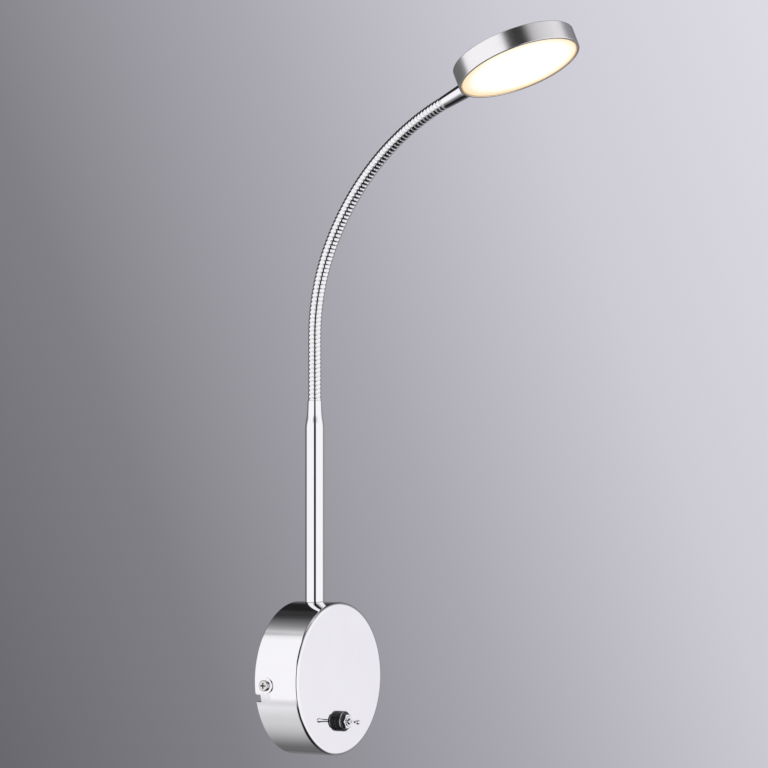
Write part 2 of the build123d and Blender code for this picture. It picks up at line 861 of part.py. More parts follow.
# The lever lies at the left end of its throw. Its plane turns about the pivot in the bushing.
pivot = Vector(0, -lever_pivot, -switch_drop)
lever_aim = Vector(-sin(half_throw), -cos(half_throw), 0)
lever_plane = Plane(origin=pivot, x_dir=(0, 0, 1), z_dir=lever_aim)
neck_foot = sqrt(lever_ball_radius**2 - lever_neck_radius**2)
arm_foot = -sqrt(lever_ball_radius**2 - lever_arm_radius**2)
tip_centre = lever_tip_reach - lever_pivot_reach
tip_foot = tip_centre - sqrt(lever_tip_radius**2 - lever_flare_radius**2)
lever_section = Plane(origin=pivot, x_dir=lever_plane.x_dir, z_dir=-lever_plane.y_dir)

with BuildPart() as toggle_lever:
    with BuildSketch(lever_section):
        with BuildLine():
            arm_end = -lever_arm_length + lever_arm_radius
            Polyline((0, arm_end), (lever_arm_radius, arm_end), (lever_arm_radius, arm_foot))
            ThreePointArc(
                (lever_arm_radius, arm_foot), (lever_ball_radius, 0), (lever_neck_radius, neck_foot)
            )
            Line((lever_neck_radius, neck_foot), (lever_flare_radius, tip_foot))
            ThreePointArc(
                (lever_flare_radius, tip_foot),
                (lever_tip_radius, tip_centre),
                (0, tip_centre + lever_tip_radius),
            )
            Line((0, tip_centre + lever_tip_radius), (0, arm_end))
        make_face()
    revolve(axis=Axis(pivot, lever_aim))
keep(toggle_lever.part, "toggle_lever")

with BuildPart() as lever_plunger:
    plunger_end = -lever_arm_length - lever_arm_radius
    dome_start = plunger_end + plunger_radius
    with BuildSketch(lever_section):
        with BuildLine():
            Line((0, plunger_end + plunger_length), (plunger_radius, plunger_end + plunger_length))
            Line((plunger_radius, plunger_end + plunger_length), (plunger_radius, dome_start))
            ThreePointArc(
                (plunger_radius, dome_start),
                (plunger_radius * sqrt(0.5), dome_start - plunger_radius * sqrt(0.5)),
                (0, plunger_end),
            )
            Line((0, plunger_end), (0, plunger_end + plunger_length))
        make_face()
    revolve(axis=Axis(pivot, lever_aim))
    turned(
        lever_plane,
        [(0, arm_end - seat_clearance), (lever_arm_radius + seat_clearance, arm_end - seat_clearance)]
        + [(lever_arm_radius + seat_clearance, 0), (0, 0)],
        Mode.SUBTRACT,
    )
keep(lever_plunger.part, "lever_plunger")

# The rocker is a shallow vee on the middle contact's round top, tipped away from the plunger.
plunger_reach = lever_arm_length + lever_arm_radius
fulcrum_forward = lever_pivot - plunger_reach - contact_gap - rocker_vertex_rise
fulcrum = Vector(0, -fulcrum_forward, -switch_drop)
slope = radians(rocker_slope)
rocker_plane = Plane(origin=fulcrum, x_dir=(cos(slope), sin(slope), 0), z_dir=(0, 0, -1))
arm_top = rocker_vertex_rise + rocker_half_length * tan(slope)
seat_half = rocker_foot_half + rocker_foot_flare
seat_rise = rocker_vertex_rise - rocker_thickness + seat_half * tan(slope)

with BuildPart() as contact_rocker:
    with BuildSketch(rocker_plane.offset(-rocker_width / 2)):
        with BuildLine():
            Polyline(
                (-rocker_half_length, arm_top),
                (0, rocker_vertex_rise),
                (rocker_half_length, arm_top),
                (rocker_half_length, arm_top - rocker_thickness),
                (seat_half, seat_rise),
                (rocker_foot_half, rocker_foot_rise),
                (-rocker_foot_half, rocker_foot_rise),
                (-seat_half, seat_rise),
                (-rocker_half_length, arm_top - rocker_thickness),
                close=True,
            )
        make_face()
        Circle(fulcrum_radius + fulcrum_clearance, mode=Mode.SUBTRACT)
    extrude(amount=rocker_width)
keep(contact_rocker.part, "contact_rocker")

contact_foot = switch_plate_back - housing_depth - contact_tail
contact_pad = fulcrum_forward + rocker_vertex_rise - rocker_thickness - contact_gap

with BuildPart() as switch_contacts:
    for place in (-1, 0, 1):
        contact_top = contact_pad if place else fulcrum_forward - 2 * fulcrum_web
        with BuildSketch(switch_plane.offset(contact_foot)):
            with Locations((place * contact_pitch, 0)):
                Rectangle(contact_thickness, contact_width)
        extrude(amount=contact_top - contact_foot)
    with BuildSketch(Plane.XY.offset(-switch_drop - rocker_width / 2)):
        with Locations((0, -fulcrum_forward)):
            Circle(fulcrum_radius)
    extrude(amount=rocker_width)
keep(switch_contacts.part, "switch_contacts")

# ---- LED driver ----

driver_front = canopy_face_inside - pad_thickness
driver_back = driver_front - driver_depth
driver_corner = Vector(canopy_inner_radius - driver_gap, 0).rotate(Axis.Z, driver_bearing)
driver_centre = driver_corner - Vector(driver_length / 2, driver_width / 2)

with BuildPart() as driver_pad:
    with BuildSketch(wall_plane.offset(driver_front)):
        with Locations(driver_centre):
            Rectangle(driver_length - pad_inset, driver_width - pad_inset)
    extrude(amount=pad_thickness)
keep(driver_pad.part, "driver_pad")

with BuildPart() as driver_case:
    with BuildSketch(wall_plane.offset(driver_back + driver_lid_thickness)):
        with Locations(driver_centre):
            RectangleRounded(driver_length, driver_width, driver_corner_radius)
    extrude(amount=driver_depth - driver_lid_thickness)
    with BuildSketch(wall_plane.offset(driver_back)):
        with Locations(driver_centre):
            Rectangle(driver_length - 2 * driver_wall, driver_width - 2 * driver_wall)
    extrude(amount=driver_depth - driver_wall, mode=Mode.SUBTRACT)
keep(driver_case.part, "driver_case")

with BuildPart() as driver_lid:
    with BuildSketch(wall_plane.offset(driver_back)):
        with Locations(driver_centre):
            RectangleRounded(driver_length, driver_width, driver_corner_radius)
    extrude(amount=driver_lid_thickness)
    lip = 2 * (driver_wall + slip_clearance)
    inner_lip = lip + 2 * driver_lid_lip
    with BuildSketch(wall_plane.offset(driver_back + driver_lid_thickness)):
        with Locations(driver_centre):
            Rectangle(driver_length - lip, driver_width - lip)
            Rectangle(driver_length - inner_lip, driver_width - inner_lip, mode=Mode.SUBTRACT)
    extrude(amount=driver_wall)
keep(driver_lid.part, "driver_lid")

# ---- terminal block and earth screw ----

block_plane = wall_plane.offset(bracket_thickness)
wire_height = bracket_thickness + terminal_base_height
clamp_top = wire_height + terminal_clamp_rise
terminal_well = block_plane.offset(terminal_floor)

with BuildPart() as terminal_block:
    with BuildSketch(block_plane):
        with Locations((-terminal_centre_x, 0)):
            RectangleRounded(terminal_length, terminal_width, terminal_corner)
    extrude(amount=terminal_base_height)
    with BuildSketch(block_plane):
        with Locations((-terminal_centre_x, 0)):
            with GridLocations(terminal_pitch, 0, 2, 1):
                Circle(terminal_tower_radius)
    extrude(amount=terminal_tower_height)
    with BuildSketch(terminal_well):
        with Locations((-terminal_centre_x, 0)):
            with GridLocations(terminal_pitch, 0, 2, 1):
                Circle(terminal_clamp_radius + seat_clearance)
    extrude(amount=terminal_tower_height, mode=Mode.SUBTRACT)
    with BuildSketch(Plane.XY):
        with Locations((-terminal_centre_x, -wire_height)):
            with GridLocations(terminal_pitch, 0, 2, 1):
                Circle(terminal_wire_radius)
    extrude(amount=terminal_width, both=True, mode=Mode.SUBTRACT)
    with BuildSketch(block_plane):
        with Locations((-terminal_centre_x, 0)):
            Circle(terminal_fixing_radius + screw_clearance)
    extrude(amount=terminal_tower_height, mode=Mode.SUBTRACT)
    with BuildSketch(block_plane.offset(terminal_base_height)):
        with Locations((-terminal_centre_x, 0)):
            Circle(terminal_fixing_head_radius + slip_clearance)
    extrude(amount=terminal_tower_height, mode=Mode.SUBTRACT)
keep(terminal_block.part, "terminal_block")

with BuildPart() as terminal_clamps:
    with BuildSketch(terminal_well):
        with Locations((-terminal_centre_x, 0)):
            with GridLocations(terminal_pitch, 0, 2, 1):
                Circle(terminal_clamp_radius)
    extrude(amount=clamp_top - bracket_thickness - terminal_floor)
    with BuildSketch(Plane.XY):
        with Locations((-terminal_centre_x, -wire_height)):
            with GridLocations(terminal_pitch, 0, 2, 1):
                Circle(terminal_wire_radius)
    extrude(amount=terminal_width, both=True, mode=Mode.SUBTRACT)
    with BuildSketch(wall_plane.offset(wire_height)):
        with Locations((-terminal_centre_x, 0)):
            with GridLocations(terminal_pitch, 0, 2, 1):
                Circle(terminal_screw_radius + screw_clearance)
    extrude(amount=terminal_tower_height, mode=Mode.SUBTRACT)
keep(terminal_clamps.part, "terminal_clamps")

with BuildPart() as terminal_screws:
    for place in (-0.5, 0.5):
        screw_x = -terminal_centre_x + place * terminal_pitch
        screw_top = wall_plane.offset(clamp_top).shift_origin((screw_x, -clamp_top, 0))
        turned(
            screw_top,
            [
                (0, terminal_screw_gap - terminal_clamp_rise),
                (terminal_screw_radius, terminal_screw_gap - terminal_clamp_rise),
                (terminal_screw_radius, seat_clearance),
                (terminal_clamp_radius - slip_clearance, seat_clearance),
                (terminal_clamp_radius - slip_clearance, terminal_screw_head_height),
                (0, terminal_screw_head_height),
            ],
        )
        with BuildSketch(screw_top.offset(terminal_screw_head_height)):
            Rectangle(2 * terminal_clamp_radius, terminal_slot_width)
        extrude(amount=-terminal_slot_depth, mode=Mode.SUBTRACT)
keep(terminal_screws.part, "terminal_screws")

with BuildPart() as terminal_fixing_screw:
    fixing_top = block_plane.offset(terminal_base_height)
    fixing_top = fixing_top.shift_origin((-terminal_centre_x, -bracket_thickness - terminal_base_height, 0))
    turned(
        fixing_top,
        pan_outline(
            terminal_fixing_head_radius,
            terminal_fixing_head_height,
            terminal_fixing_radius,
            terminal_base_height + terminal_fixing_reach,
        ),
    )
keep(terminal_fixing_screw.part, "terminal_fixing_screw")

earth_seat = block_plane.shift_origin((earth_screw_x, -bracket_thickness, 0))
earth_washer = ring(
    earth_seat, earth_washer_radius, earth_screw_radius + slip_clearance, earth_washer_thickness
)
keep(earth_washer, "earth_washer")

with BuildPart() as earth_screw:
    turned(
        earth_seat.offset(earth_washer_thickness),
        pan_outline(
            earth_screw_head_radius,
            earth_screw_head_height,
            earth_screw_radius,
            bracket_thickness + earth_washer_thickness - seat_clearance,
        ),
    )
    cross_recess(earth_seat.offset(earth_washer_thickness + earth_screw_head_height))
keep(earth_screw.part, "earth_screw")
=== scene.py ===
import json
from math import atan2, cos, hypot, pi, radians, sin, sqrt, tau

import bmesh
import bpy
from mathutils import Matrix, Vector


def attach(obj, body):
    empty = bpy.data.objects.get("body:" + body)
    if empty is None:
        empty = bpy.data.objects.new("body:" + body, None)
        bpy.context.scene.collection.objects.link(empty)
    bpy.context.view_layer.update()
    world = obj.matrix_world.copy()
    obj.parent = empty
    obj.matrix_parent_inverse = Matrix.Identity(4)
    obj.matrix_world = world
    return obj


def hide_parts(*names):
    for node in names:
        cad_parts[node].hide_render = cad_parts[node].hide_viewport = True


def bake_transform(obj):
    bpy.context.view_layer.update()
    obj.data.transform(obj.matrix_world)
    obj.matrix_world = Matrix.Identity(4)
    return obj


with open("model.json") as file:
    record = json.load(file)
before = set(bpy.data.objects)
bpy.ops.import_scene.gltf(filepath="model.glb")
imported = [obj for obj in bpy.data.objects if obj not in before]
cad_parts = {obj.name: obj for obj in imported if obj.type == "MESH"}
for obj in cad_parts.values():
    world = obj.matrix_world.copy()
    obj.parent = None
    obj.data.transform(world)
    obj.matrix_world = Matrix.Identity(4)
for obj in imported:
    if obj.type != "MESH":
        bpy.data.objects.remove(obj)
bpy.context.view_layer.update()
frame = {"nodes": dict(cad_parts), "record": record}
nodes = frame["nodes"]

# shapes are written in millimetres, and MM turns them into the scene's metres
MM = 0.001

# how close counts as one point, as a sliver and as on a cutting plane, in metres
MERGE = 0.000001
SLIVER = 0.0000005
CUT = 0.0000001

# below this a length counts as nothing
TINY = 1e-9

# ---- shader writing ----


class Wire:
    """A shader socket that takes part in sums, products and powers."""

    def __init__(self, shader, socket):
        self.shader = shader
        self.socket = socket

    def math(self, operation, *values):
        return self.shader.node("Math", {"operation": operation}, dict(enumerate(values)))

    def __add__(self, other):
        return self.math("ADD", self, other)

    def __sub__(self, other):
        return self.math("SUBTRACT", self, other)

    def __mul__(self, other):
        return self.math("MULTIPLY", self, other)

    def __truediv__(self, other):
        return self.math("DIVIDE", self, other)

    def __pow__(self, other):
        return self.math("POWER", self, other)

    def __abs__(self):
        return self.math("ABSOLUTE", self)

    def __radd__(self, other):
        return self.math("ADD", other, self)

    def __rsub__(self, other):
        return self.math("SUBTRACT", other, self)

    def __rmul__(self, other):
        return self.math("MULTIPLY", other, self)

    def __rtruediv__(self, other):
        return self.math("DIVIDE", other, self)


class Shader:
    """The nodes of one material or world."""

    def __init__(self, tree):
        self.tree = tree
        tree.nodes.clear()

    def node(self, kind, settings=None, sockets=None, out=0):
        """Add a node with its settings and inputs, and give back one of its outputs."""
        made = self.tree.nodes.new("ShaderNode" + kind)
        for name, value in (settings or {}).items():
            if name == "stops":
                ramp = made.color_ramp
                while len(ramp.elements) > 1:
                    ramp.elements.remove(ramp.elements[-1])
                for index, (place, colour) in enumerate(value):
                    stop = ramp.elements[0] if index == 0 else ramp.elements.new(place)
                    stop.position = place
                    stop.color = (*colour, 1)
            else:
                setattr(made, name, value)
        for name, value in (sockets or {}).items():
            if isinstance(value, Wire):
                self.tree.links.new(value.socket, made.inputs[name])
            else:
                made.inputs[name].default_value = value
        return Wire(self, made.outputs[out]) if made.outputs else made

    def place(self, origin=(0, 0, 0), turn=(0, 0, 0)):
        """Object coordinates, moved so that origin is at zero and then turned, in metres."""
        here = self.node("TexCoord", out="Object")
        moved = self.node("VectorMath", {"operation": "SUBTRACT"}, {0: here, 1: origin})
        return self.node("Mapping", None, {"Vector": moved, "Rotation": turn})

    def stretch(self, vector, factors):
        return self.node("VectorMath", {"operation": "MULTIPLY"}, {0: vector, 1: factors})

    def parts(self, vector):
        made = self.node("SeparateXYZ", None, {0: vector}).socket.node
        return [Wire(self, socket) for socket in made.outputs]

    def vector(self, x, y, z):
        return self.node("CombineXYZ", None, {0: x, 1: y, 2: z})

    def noise(self, vector, scale, detail=2.0, roughness=0.5):
        return self.node(
            "TexNoise",
            None,
            {"Vector": vector, "Scale": scale, "Detail": detail, "Roughness": roughness},
        )

    def ramp(self, value, *stops):
        """Greys or colours by the value, from stops of (value, grey or colour)."""
        full = [(p, c if isinstance(c, tuple) else (c, c, c)) for p, c in stops]
        return self.node("ValToRGB", {"stops": full}, {0: value})

    def step(self, value, low, high):
        """A smooth step from 0 to 1 as the value goes from low to high."""
        return self.node(
            "MapRange",
            {"interpolation_type": "SMOOTHSTEP"},
            {"Value": value, 1: low, 2: high},
        )

    def mix(self, share, first, second, blend="MIX"):
        """Colour mix; a colour is three numbers or a wire."""
        sockets = {0: share}
        for slot, colour in ((6, first), (7, second)):
            sockets[slot] = colour if isinstance(colour, Wire) else (*colour, 1)
        return self.node("Mix", {"data_type": "RGBA", "blend_type": blend}, sockets, out=2)

    def bump(self, height, distance):
        return self.node("Bump", None, {"Height": height, "Distance": distance})


def surface(name, paint):
    """A material whose principled shader takes the sockets that paint gives back."""
    material = bpy.data.materials.new(name)
    material.use_nodes = True
    shader = Shader(material.node_tree)
    body = shader.node("BsdfPrincipled", None, paint(shader))
    shader.node("OutputMaterial", None, {"Surface": body})
    return material


# ---- shaping ----


def cleaned(bm):
    """Merge doubles, drop slivers and turn the faces outward."""
    bmesh.ops.remove_doubles(bm, verts=bm.verts, dist=MERGE)
    bmesh.ops.dissolve_degenerate(bm, dist=SLIVER, edges=bm.edges)
    bmesh.ops.recalc_face_normals(bm, faces=bm.faces)
    return bm


def smooth_by_angle(mesh, limit):
    """Shade a mesh smooth, but not over edges that bend more than a limit in degrees."""
    sharp = radians(limit)
    work = bmesh.new()
    work.from_mesh(mesh)
    for face in work.faces:
        face.smooth = True
    for edge in work.edges:
        edge.smooth = not (len(edge.link_faces) == 2 and edge.calc_face_angle() > sharp)
    work.to_mesh(mesh)
    work.free()


def piece(name, bm, finishes, limit, body=None, replaces=()):
    """Finish a shape as an object: cleaned, shaded smooth, and riding on its body."""
    cleaned(bm)
    mesh = bpy.data.meshes.new(name)
    bm.to_mesh(mesh)
    bm.free()
    smooth_by_angle(mesh, limit)
    for finish in finishes:
        mesh.materials.append(FINISHES[finish])
    made = bpy.data.objects.new(name, mesh)
    bpy.context.scene.collection.objects.link(made)
    if body:
        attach(made, body)
    if replaces:
        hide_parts(*replaces)
    return made


def upright(origin, axis, across):
    """A frame in metres, z along the axis and x across it, from an origin in millimetres."""
    z = Vector(axis).normalized()
    x = Vector(across)
    x = (x - z * x.dot(z)).normalized()
    y = z.cross(x)
    turn = Matrix((x, y, z)).transposed().to_4x4()
    return Matrix.Translation(Vector(origin) * MM) @ turn


def settle(bm, place):
    """Move a shape into a frame."""
    bmesh.ops.transform(bm, matrix=place, verts=bm.verts)
    return bm


def joined(shapes):
    """Gather several shapes in one."""
    bm = bmesh.new()
    for shape in shapes:
        mesh = bpy.data.meshes.new("part")
        shape.to_mesh(mesh)
        shape.free()
        bm.from_mesh(mesh)
        bpy.data.meshes.remove(mesh)
    return bm


def drawn(bm, outline, start=0.0):
    """Draw an outline of (radius, height), lifted by start, and give back its points and lines."""
    line = []
    for r, h in outline:
        spot = (r * MM, 0, (start + h) * MM)
        line.append(bmesh.ops.create_vert(bm, co=spot)["vert"][0])
    return line + [bm.edges.new(pair) for pair in zip(line, line[1:])]


def spun(outline, segments):
    """Turn an outline of (radius, height) once round z."""
    bm = bmesh.new()
    bmesh.ops.spin(
        bm,
        geom=drawn(bm, outline),
        cent=(0, 0, 0),
        axis=(0, 0, 1),
        angle=tau,
        steps=segments,
        use_merge=True,
    )
    return cleaned(bm)


def wound(profile, pitch, first, last, steps):
    """Wind a profile of (radius, height) round z at a pitch, cut square at two heights."""
    bm = bmesh.new()
    # two turns too many below, so that the cut leaves a full round end
    start = (int(first // pitch) - 2) * pitch
    bmesh.ops.spin(
        bm,
        geom=drawn(bm, profile, start),
        cent=(0, 0, 0),
        axis=(0, 0, 1),
        dvec=(0, 0, pitch * MM / steps),
        angle=tau,
        steps=steps,
    )
    one_turn = bm.verts[:] + bm.edges[:] + bm.faces[:]
    for turn in range(1, int((last - start) // pitch) + 2):
        copy = bmesh.ops.duplicate(bm, geom=one_turn)["geom"]
        moved = [part for part in copy if isinstance(part, bmesh.types.BMVert)]
        bmesh.ops.translate(bm, verts=moved, vec=(0, 0, turn * pitch * MM))
    bmesh.ops.remove_doubles(bm, verts=bm.verts, dist=2 * MERGE)
    for height, outward in ((first, -1), (last, 1)):
        bmesh.ops.bisect_plane(
            bm,
            geom=bm.verts[:] + bm.edges[:] + bm.faces[:],
            dist=CUT,
            plane_co=(0, 0, height * MM),
            plane_no=(0, 0, outward),
            clear_outer=True,
        )
    rims = [edge for edge in bm.edges if edge.is_boundary]
    bmesh.ops.holes_fill(bm, edges=rims, sides=0)
    bmesh.ops.recalc_face_normals(bm, faces=bm.faces)
    return bm


def arc(radius, centre, start, end, count):
    """Points of an outline on an arc, angles in degrees from the outline's radius direction."""
    turns = [radians(start + (end - start) * index / count) for index in range(count + 1)]
    return [(centre[0] + radius * cos(t), centre[1] + radius * sin(t)) for t in turns]


def circle_outline(radius, x=0.0, y=0.0, count=32, sweep=tau):
    """Points on a whole circle, or on the part of one that sweep gives."""
    steps = count if sweep == tau else count + 1
    turns = [sweep * index / count for index in range(steps)]
    return [(x + radius * cos(t), y + radius * sin(t)) for t in turns]


def cut_hole(bm, place, outline, depth):
    """Cut a convex outline of (x, y) in the place's frame through the faces between two depths."""
    back = place.inverted()
    corners = [Vector((x, y, 0)) * MM for x, y in outline]
    across, along = zip(*outline)
    low = Vector((min(across), min(along), depth[0])) * MM
    high = Vector((max(across), max(along), depth[1])) * MM

    def is_near(face):
        spots = [back @ vert.co for vert in face.verts]
        return all(
            min(spot[way] for spot in spots) < high[way]
            and max(spot[way] for spot in spots) > low[way]
            for way in range(3)
        )

    # the planes of the outline's sides split the faces near it, and those within are deleted
    near = [face for face in bm.faces if is_near(face)]
    # kept in the faces' own order, because a set's order changes from run to run
    edges = dict.fromkeys(edge for face in near for edge in face.edges)
    points = dict.fromkeys(vert for face in near for vert in face.verts)
    work = near + list(edges) + list(points)
    middle = sum(corners, Vector()) / len(corners)
    sides = []
    for start, end in zip(corners, corners[1:] + corners[:1]):
        outward = Vector((end.y - start.y, start.x - end.x, 0)).normalized()
        if outward.dot(start - middle) < 0:
            outward.negate()
        sides.append((start, outward))
        work = bmesh.ops.bisect_plane(
            bm,
            geom=work,
            dist=SLIVER,
            plane_co=place @ start,
            plane_no=place.to_3x3() @ outward,
        )["geom"]
    inside = []
    for face in bm.faces:
        spot = back @ face.calc_center_median()
        within = all((spot - start).dot(outward) < 2 * CUT for start, outward in sides)
        if within and low.z < spot.z < high.z:
            inside.append(face)
    bmesh.ops.delete(bm, geom=inside, context="FACES")


# ---- the gooseneck's line ----

STEM_FORWARD = 10.5
STEM_TOP = 145.6
STRAIGHT = 33.0
LOWER_BEND = 118.5, radians(23.5)
UPPER_BEND = 144.7, radians(41.2)
NECK_END = STRAIGHT + LOWER_BEND[0] * LOWER_BEND[1] + UPPER_BEND[0] * UPPER_BEND[1]
LENGTHS = 12
LENGTH_PITCH = NECK_END / LENGTHS
RIBS = 7
RIB_PITCH = LENGTH_PITCH / RIBS


def neck_frame(along):
    """The neck's centre and direction at a distance along it; past its end it runs straight on."""
    lean, y, z = 0.0, -STEM_FORWARD, STEM_TOP
    step = min(along, STRAIGHT)
    z += step
    along -= step
    for radius, sweep in (LOWER_BEND, UPPER_BEND):
        turn = min(along / radius, sweep)
        if turn > 0:
            y -= radius * (cos(lean) - cos(lean + turn))
            z += radius * (sin(lean + turn) - sin(lean))
            lean += turn
            along -= turn * radius
    if along > TINY:
        y -= along * sin(lean)
        z += along * cos(lean)
    return (0, y, z), (0, -sin(lean), cos(lean))


def bend(bm):
    """Lay a straight hose, whose z is distance along the neck, on the gooseneck's line."""
    for vert in bm.verts:
        centre, lead = neck_frame(max(vert.co.z / MM, 0))
        vert.co = upright(centre, lead, (1, 0, 0)) @ Vector((vert.co.x, vert.co.y, 0))
    return bm


# ---- the head's frame ----

HEAD_RISE = radians(25.3)
HEAD_ROLL = radians(3.3)
HEAD_ALONG = Vector((0, -cos(HEAD_RISE), sin(HEAD_RISE)))
HEAD_FACE = Vector(
    (-sin(HEAD_ROLL), -sin(HEAD_RISE) * cos(HEAD_ROLL), -cos(HEAD_RISE) * cos(HEAD_ROLL))
)
HEAD_RADIUS, HEAD_HALF, HEAD_WALL = 32.5, 5.0, 1.2
DIFFUSER_RADIUS = 31.1
FERRULE_LENGTH = 15.5
neck_tip = Vector(neck_frame(NECK_END)[0])
head_centre = neck_tip + HEAD_ALONG * (FERRULE_LENGTH + HEAD_RADIUS)
head_frame = upright(head_centre, HEAD_FACE, HEAD_ALONG)
head_turn = head_frame.to_3x3().transposed().to_euler("XYZ")

# ---- finishes ----


def chrome_paint(tint, rough, smudge, dust=0.0):
    """Plated steel: faint clouds of polish and wiping, and a very fine grain."""

    def paint(s):
        here = s.place()
        cloud = s.noise(here, 55.0, 4.0, 0.6)
        wipe = s.noise(s.stretch(here, (900, 900, 60)), 1.0, 2.0)
        grain = s.noise(here, 2600.0, 2.0)
        return {
            "Base Color": s.mix(s.step(cloud, 0.35, 0.7), tint, [0.985 * part for part in tint]),
            "Metallic": 1.0,
            "Roughness": rough + smudge * s.step(cloud, 0.45, 0.8) + 0.3 * smudge * wipe,
            "Normal": s.bump(grain + 0.5 * wipe, 0.0000004 + dust),
        }

    return paint


def brushed_paint(s):
    """Turned aluminium: fine rings on the flat back, fine lines round the side."""
    x, y, z = s.parts(s.place(head_centre * MM, head_turn))
    reach = (x * x + y * y) ** 0.5
    angle = y.math("ARCTAN2", y, x)
    lines = s.noise(s.vector(reach * 5200, z * 5200, angle * 2.0), 1.0, 3.0, 0.65)
    broad = s.noise(s.vector(reach * 900, z * 900, angle * 0.7), 1.0, 2.0)
    cloud = s.noise(s.place(), 70.0, 2.0)
    tone = s.ramp(
        lines * 0.7 + broad * 0.3,
        (0.25, (0.86, 0.85, 0.85)),
        (0.75, (0.95, 0.94, 0.94)),
    )
    return {
        "Base Color": tone,
        "Metallic": 1.0,
        "Roughness": 0.17 + 0.08 * lines + 0.03 * cloud,
        "Normal": s.bump(lines, 0.0000035),
    }


def ring_black_paint(s):
    """Black plating with a fine speckle."""
    here = s.place()
    speck = s.noise(here, 3000.0, 2.0)
    return {
        "Base Color": s.mix(speck, (0.010, 0.009, 0.012), (0.018, 0.017, 0.021)),
        "Roughness": 0.30 + 0.10 * speck,
        "Coat Weight": 0.15,
        "Normal": s.bump(speck, 0.000001),
    }


def zinc_paint(s):
    """Zinc-plated steel: small patches of crystal."""
    here = s.place()
    cells = s.node("TexVoronoi", None, {"Vector": here, "Scale": 900.0}, out="Color")
    patch = s.parts(cells)[0]
    cloud = s.noise(here, 160.0, 4.0)
    return {
        "Base Color": s.mix(patch * 0.6 + cloud * 0.4, (0.84, 0.845, 0.855), (0.92, 0.925, 0.93)),
        "Metallic": 1.0,
        "Roughness": 0.16 + 0.08 * patch + 0.05 * cloud,
        "Normal": s.bump(cloud, 0.000002),
    }


def brass_paint(s):
    """Brass with a patchy tarnish and tool lines."""
    here = s.place()
    tarnish = s.noise(here, 260.0, 5.0, 0.6)
    lines = s.noise(s.stretch(here, (4000, 300, 4000)), 1.0, 2.0)
    return {
        "Base Color": s.mix(s.step(tarnish, 0.4, 0.75), (0.80, 0.62, 0.30), (0.60, 0.42, 0.19)),
        "Metallic": 1.0,
        "Roughness": 0.20 + 0.18 * tarnish,
        "Normal": s.bump(lines, 0.000002),
    }


def plastic_paint(light, dark, rough, grain_scale=3500.0, grain=0.000008):
    """Moulded plastic, paint or foam: a fine grain over faint clouds."""

    def paint(s):
        here = s.place()
        mould = s.noise(here, grain_scale, 3.0, 0.6)
        cloud = s.noise(here, 90.0, 3.0)
        return {
            "Base Color": s.mix(cloud * 0.7 + mould * 0.3, light, dark),
            "Roughness": rough + 0.12 * mould,
            "Normal": s.bump(mould, grain),
        }

    return paint


def opal_paint(s):
    """Lit opal disc: white, with a warm cream border that is strongest by the ferrule."""
    x, y, z = s.parts(s.place(head_centre * MM, head_turn))
    reach = (x * x + y * y) ** 0.5 / (DIFFUSER_RADIUS * MM)
    toward_neck = s.step(x / (DIFFUSER_RADIUS * MM), 0.2, -1.0)
    border = reach + 0.09 * toward_neck * s.step(reach, 0.4, 0.95)
    border = border + 0.03 * s.noise(s.place(), 60.0)
    glow = s.ramp(
        s.step(border, 0.74, 1.10),
        (0.0, (1.0, 1.0, 0.99)),
        (0.25, (1.0, 0.97, 0.88)),
        (0.55, (1.0, 0.90, 0.70)),
        (1.0, (0.93, 0.72, 0.44)),
    )
    fine = s.noise(s.place(), 4000.0, 2.0)
    return {
        "Base Color": (0.24, 0.235, 0.22, 1),
        "Roughness": 0.42 + 0.1 * fine,
        "Emission Color": s.mix(s.step(reach, 0.975, 0.996), glow, (0.55, 0.34, 0.13)),
        "Emission Strength": 0.97,
        "Normal": s.bump(fine, 0.000003),
    }


def phosphor_paint(s):
    """The yellow face of a lit chip."""
    here = s.place()
    speck = s.noise(here, 5000.0, 2.0)
    tone = s.mix(speck, (0.95, 0.72, 0.22), (0.98, 0.84, 0.42))
    return {
        "Base Color": tone,
        "Roughness": 0.35 + 0.2 * speck,
        "Emission Color": tone,
        "Emission Strength": 1.2,
    }


PAINTS = {
    "polished_chrome": chrome_paint((0.935, 0.93, 0.94), 0.012, 0.02),
    "nickel_screw": chrome_paint((0.74, 0.71, 0.70), 0.10, 0.06, 0.000001),
    # the screw recess finish: a darker chrome whose colour is painted shade inside the cross
    "screw_recess_painted_shade": chrome_paint((0.20, 0.18, 0.175), 0.35, 0.1, 0.000002),
    "hose_chrome": chrome_paint((0.91, 0.905, 0.915), 0.03, 0.03, 0.0000005),
    "brushed_aluminium": brushed_paint,
    "black_ring": ring_black_paint,
    "zinc_steel": zinc_paint,
    "brass": brass_paint,
    "opal_diffuser": opal_paint,
    "led_phosphor": phosphor_paint,
    "white_board": plastic_paint(
        (0.88, 0.88, 0.87), (0.80, 0.80, 0.79), 0.30, grain_scale=1500.0, grain=0.000004
    ),
    "white_plastic": plastic_paint((0.84, 0.835, 0.81), (0.78, 0.77, 0.745), 0.34),
    "black_plastic": plastic_paint((0.030, 0.030, 0.033), (0.018, 0.018, 0.020), 0.42),
    "nylon": plastic_paint((0.80, 0.785, 0.72), (0.73, 0.715, 0.65), 0.38),
    "foam_tape": plastic_paint(
        (0.10, 0.10, 0.10), (0.05, 0.05, 0.05), 0.8, grain_scale=1200.0, grain=0.00008
    ),
}
FINISHES = {name: surface(name, paint) for name, paint in PAINTS.items()}
for subpart in frame["record"]["subparts"]:
    cad = nodes.get(subpart["node"])
    for place in cad.material_slots if cad else ():
        place.material = FINISHES[subpart["material_slot"]]


# ---- studio ----

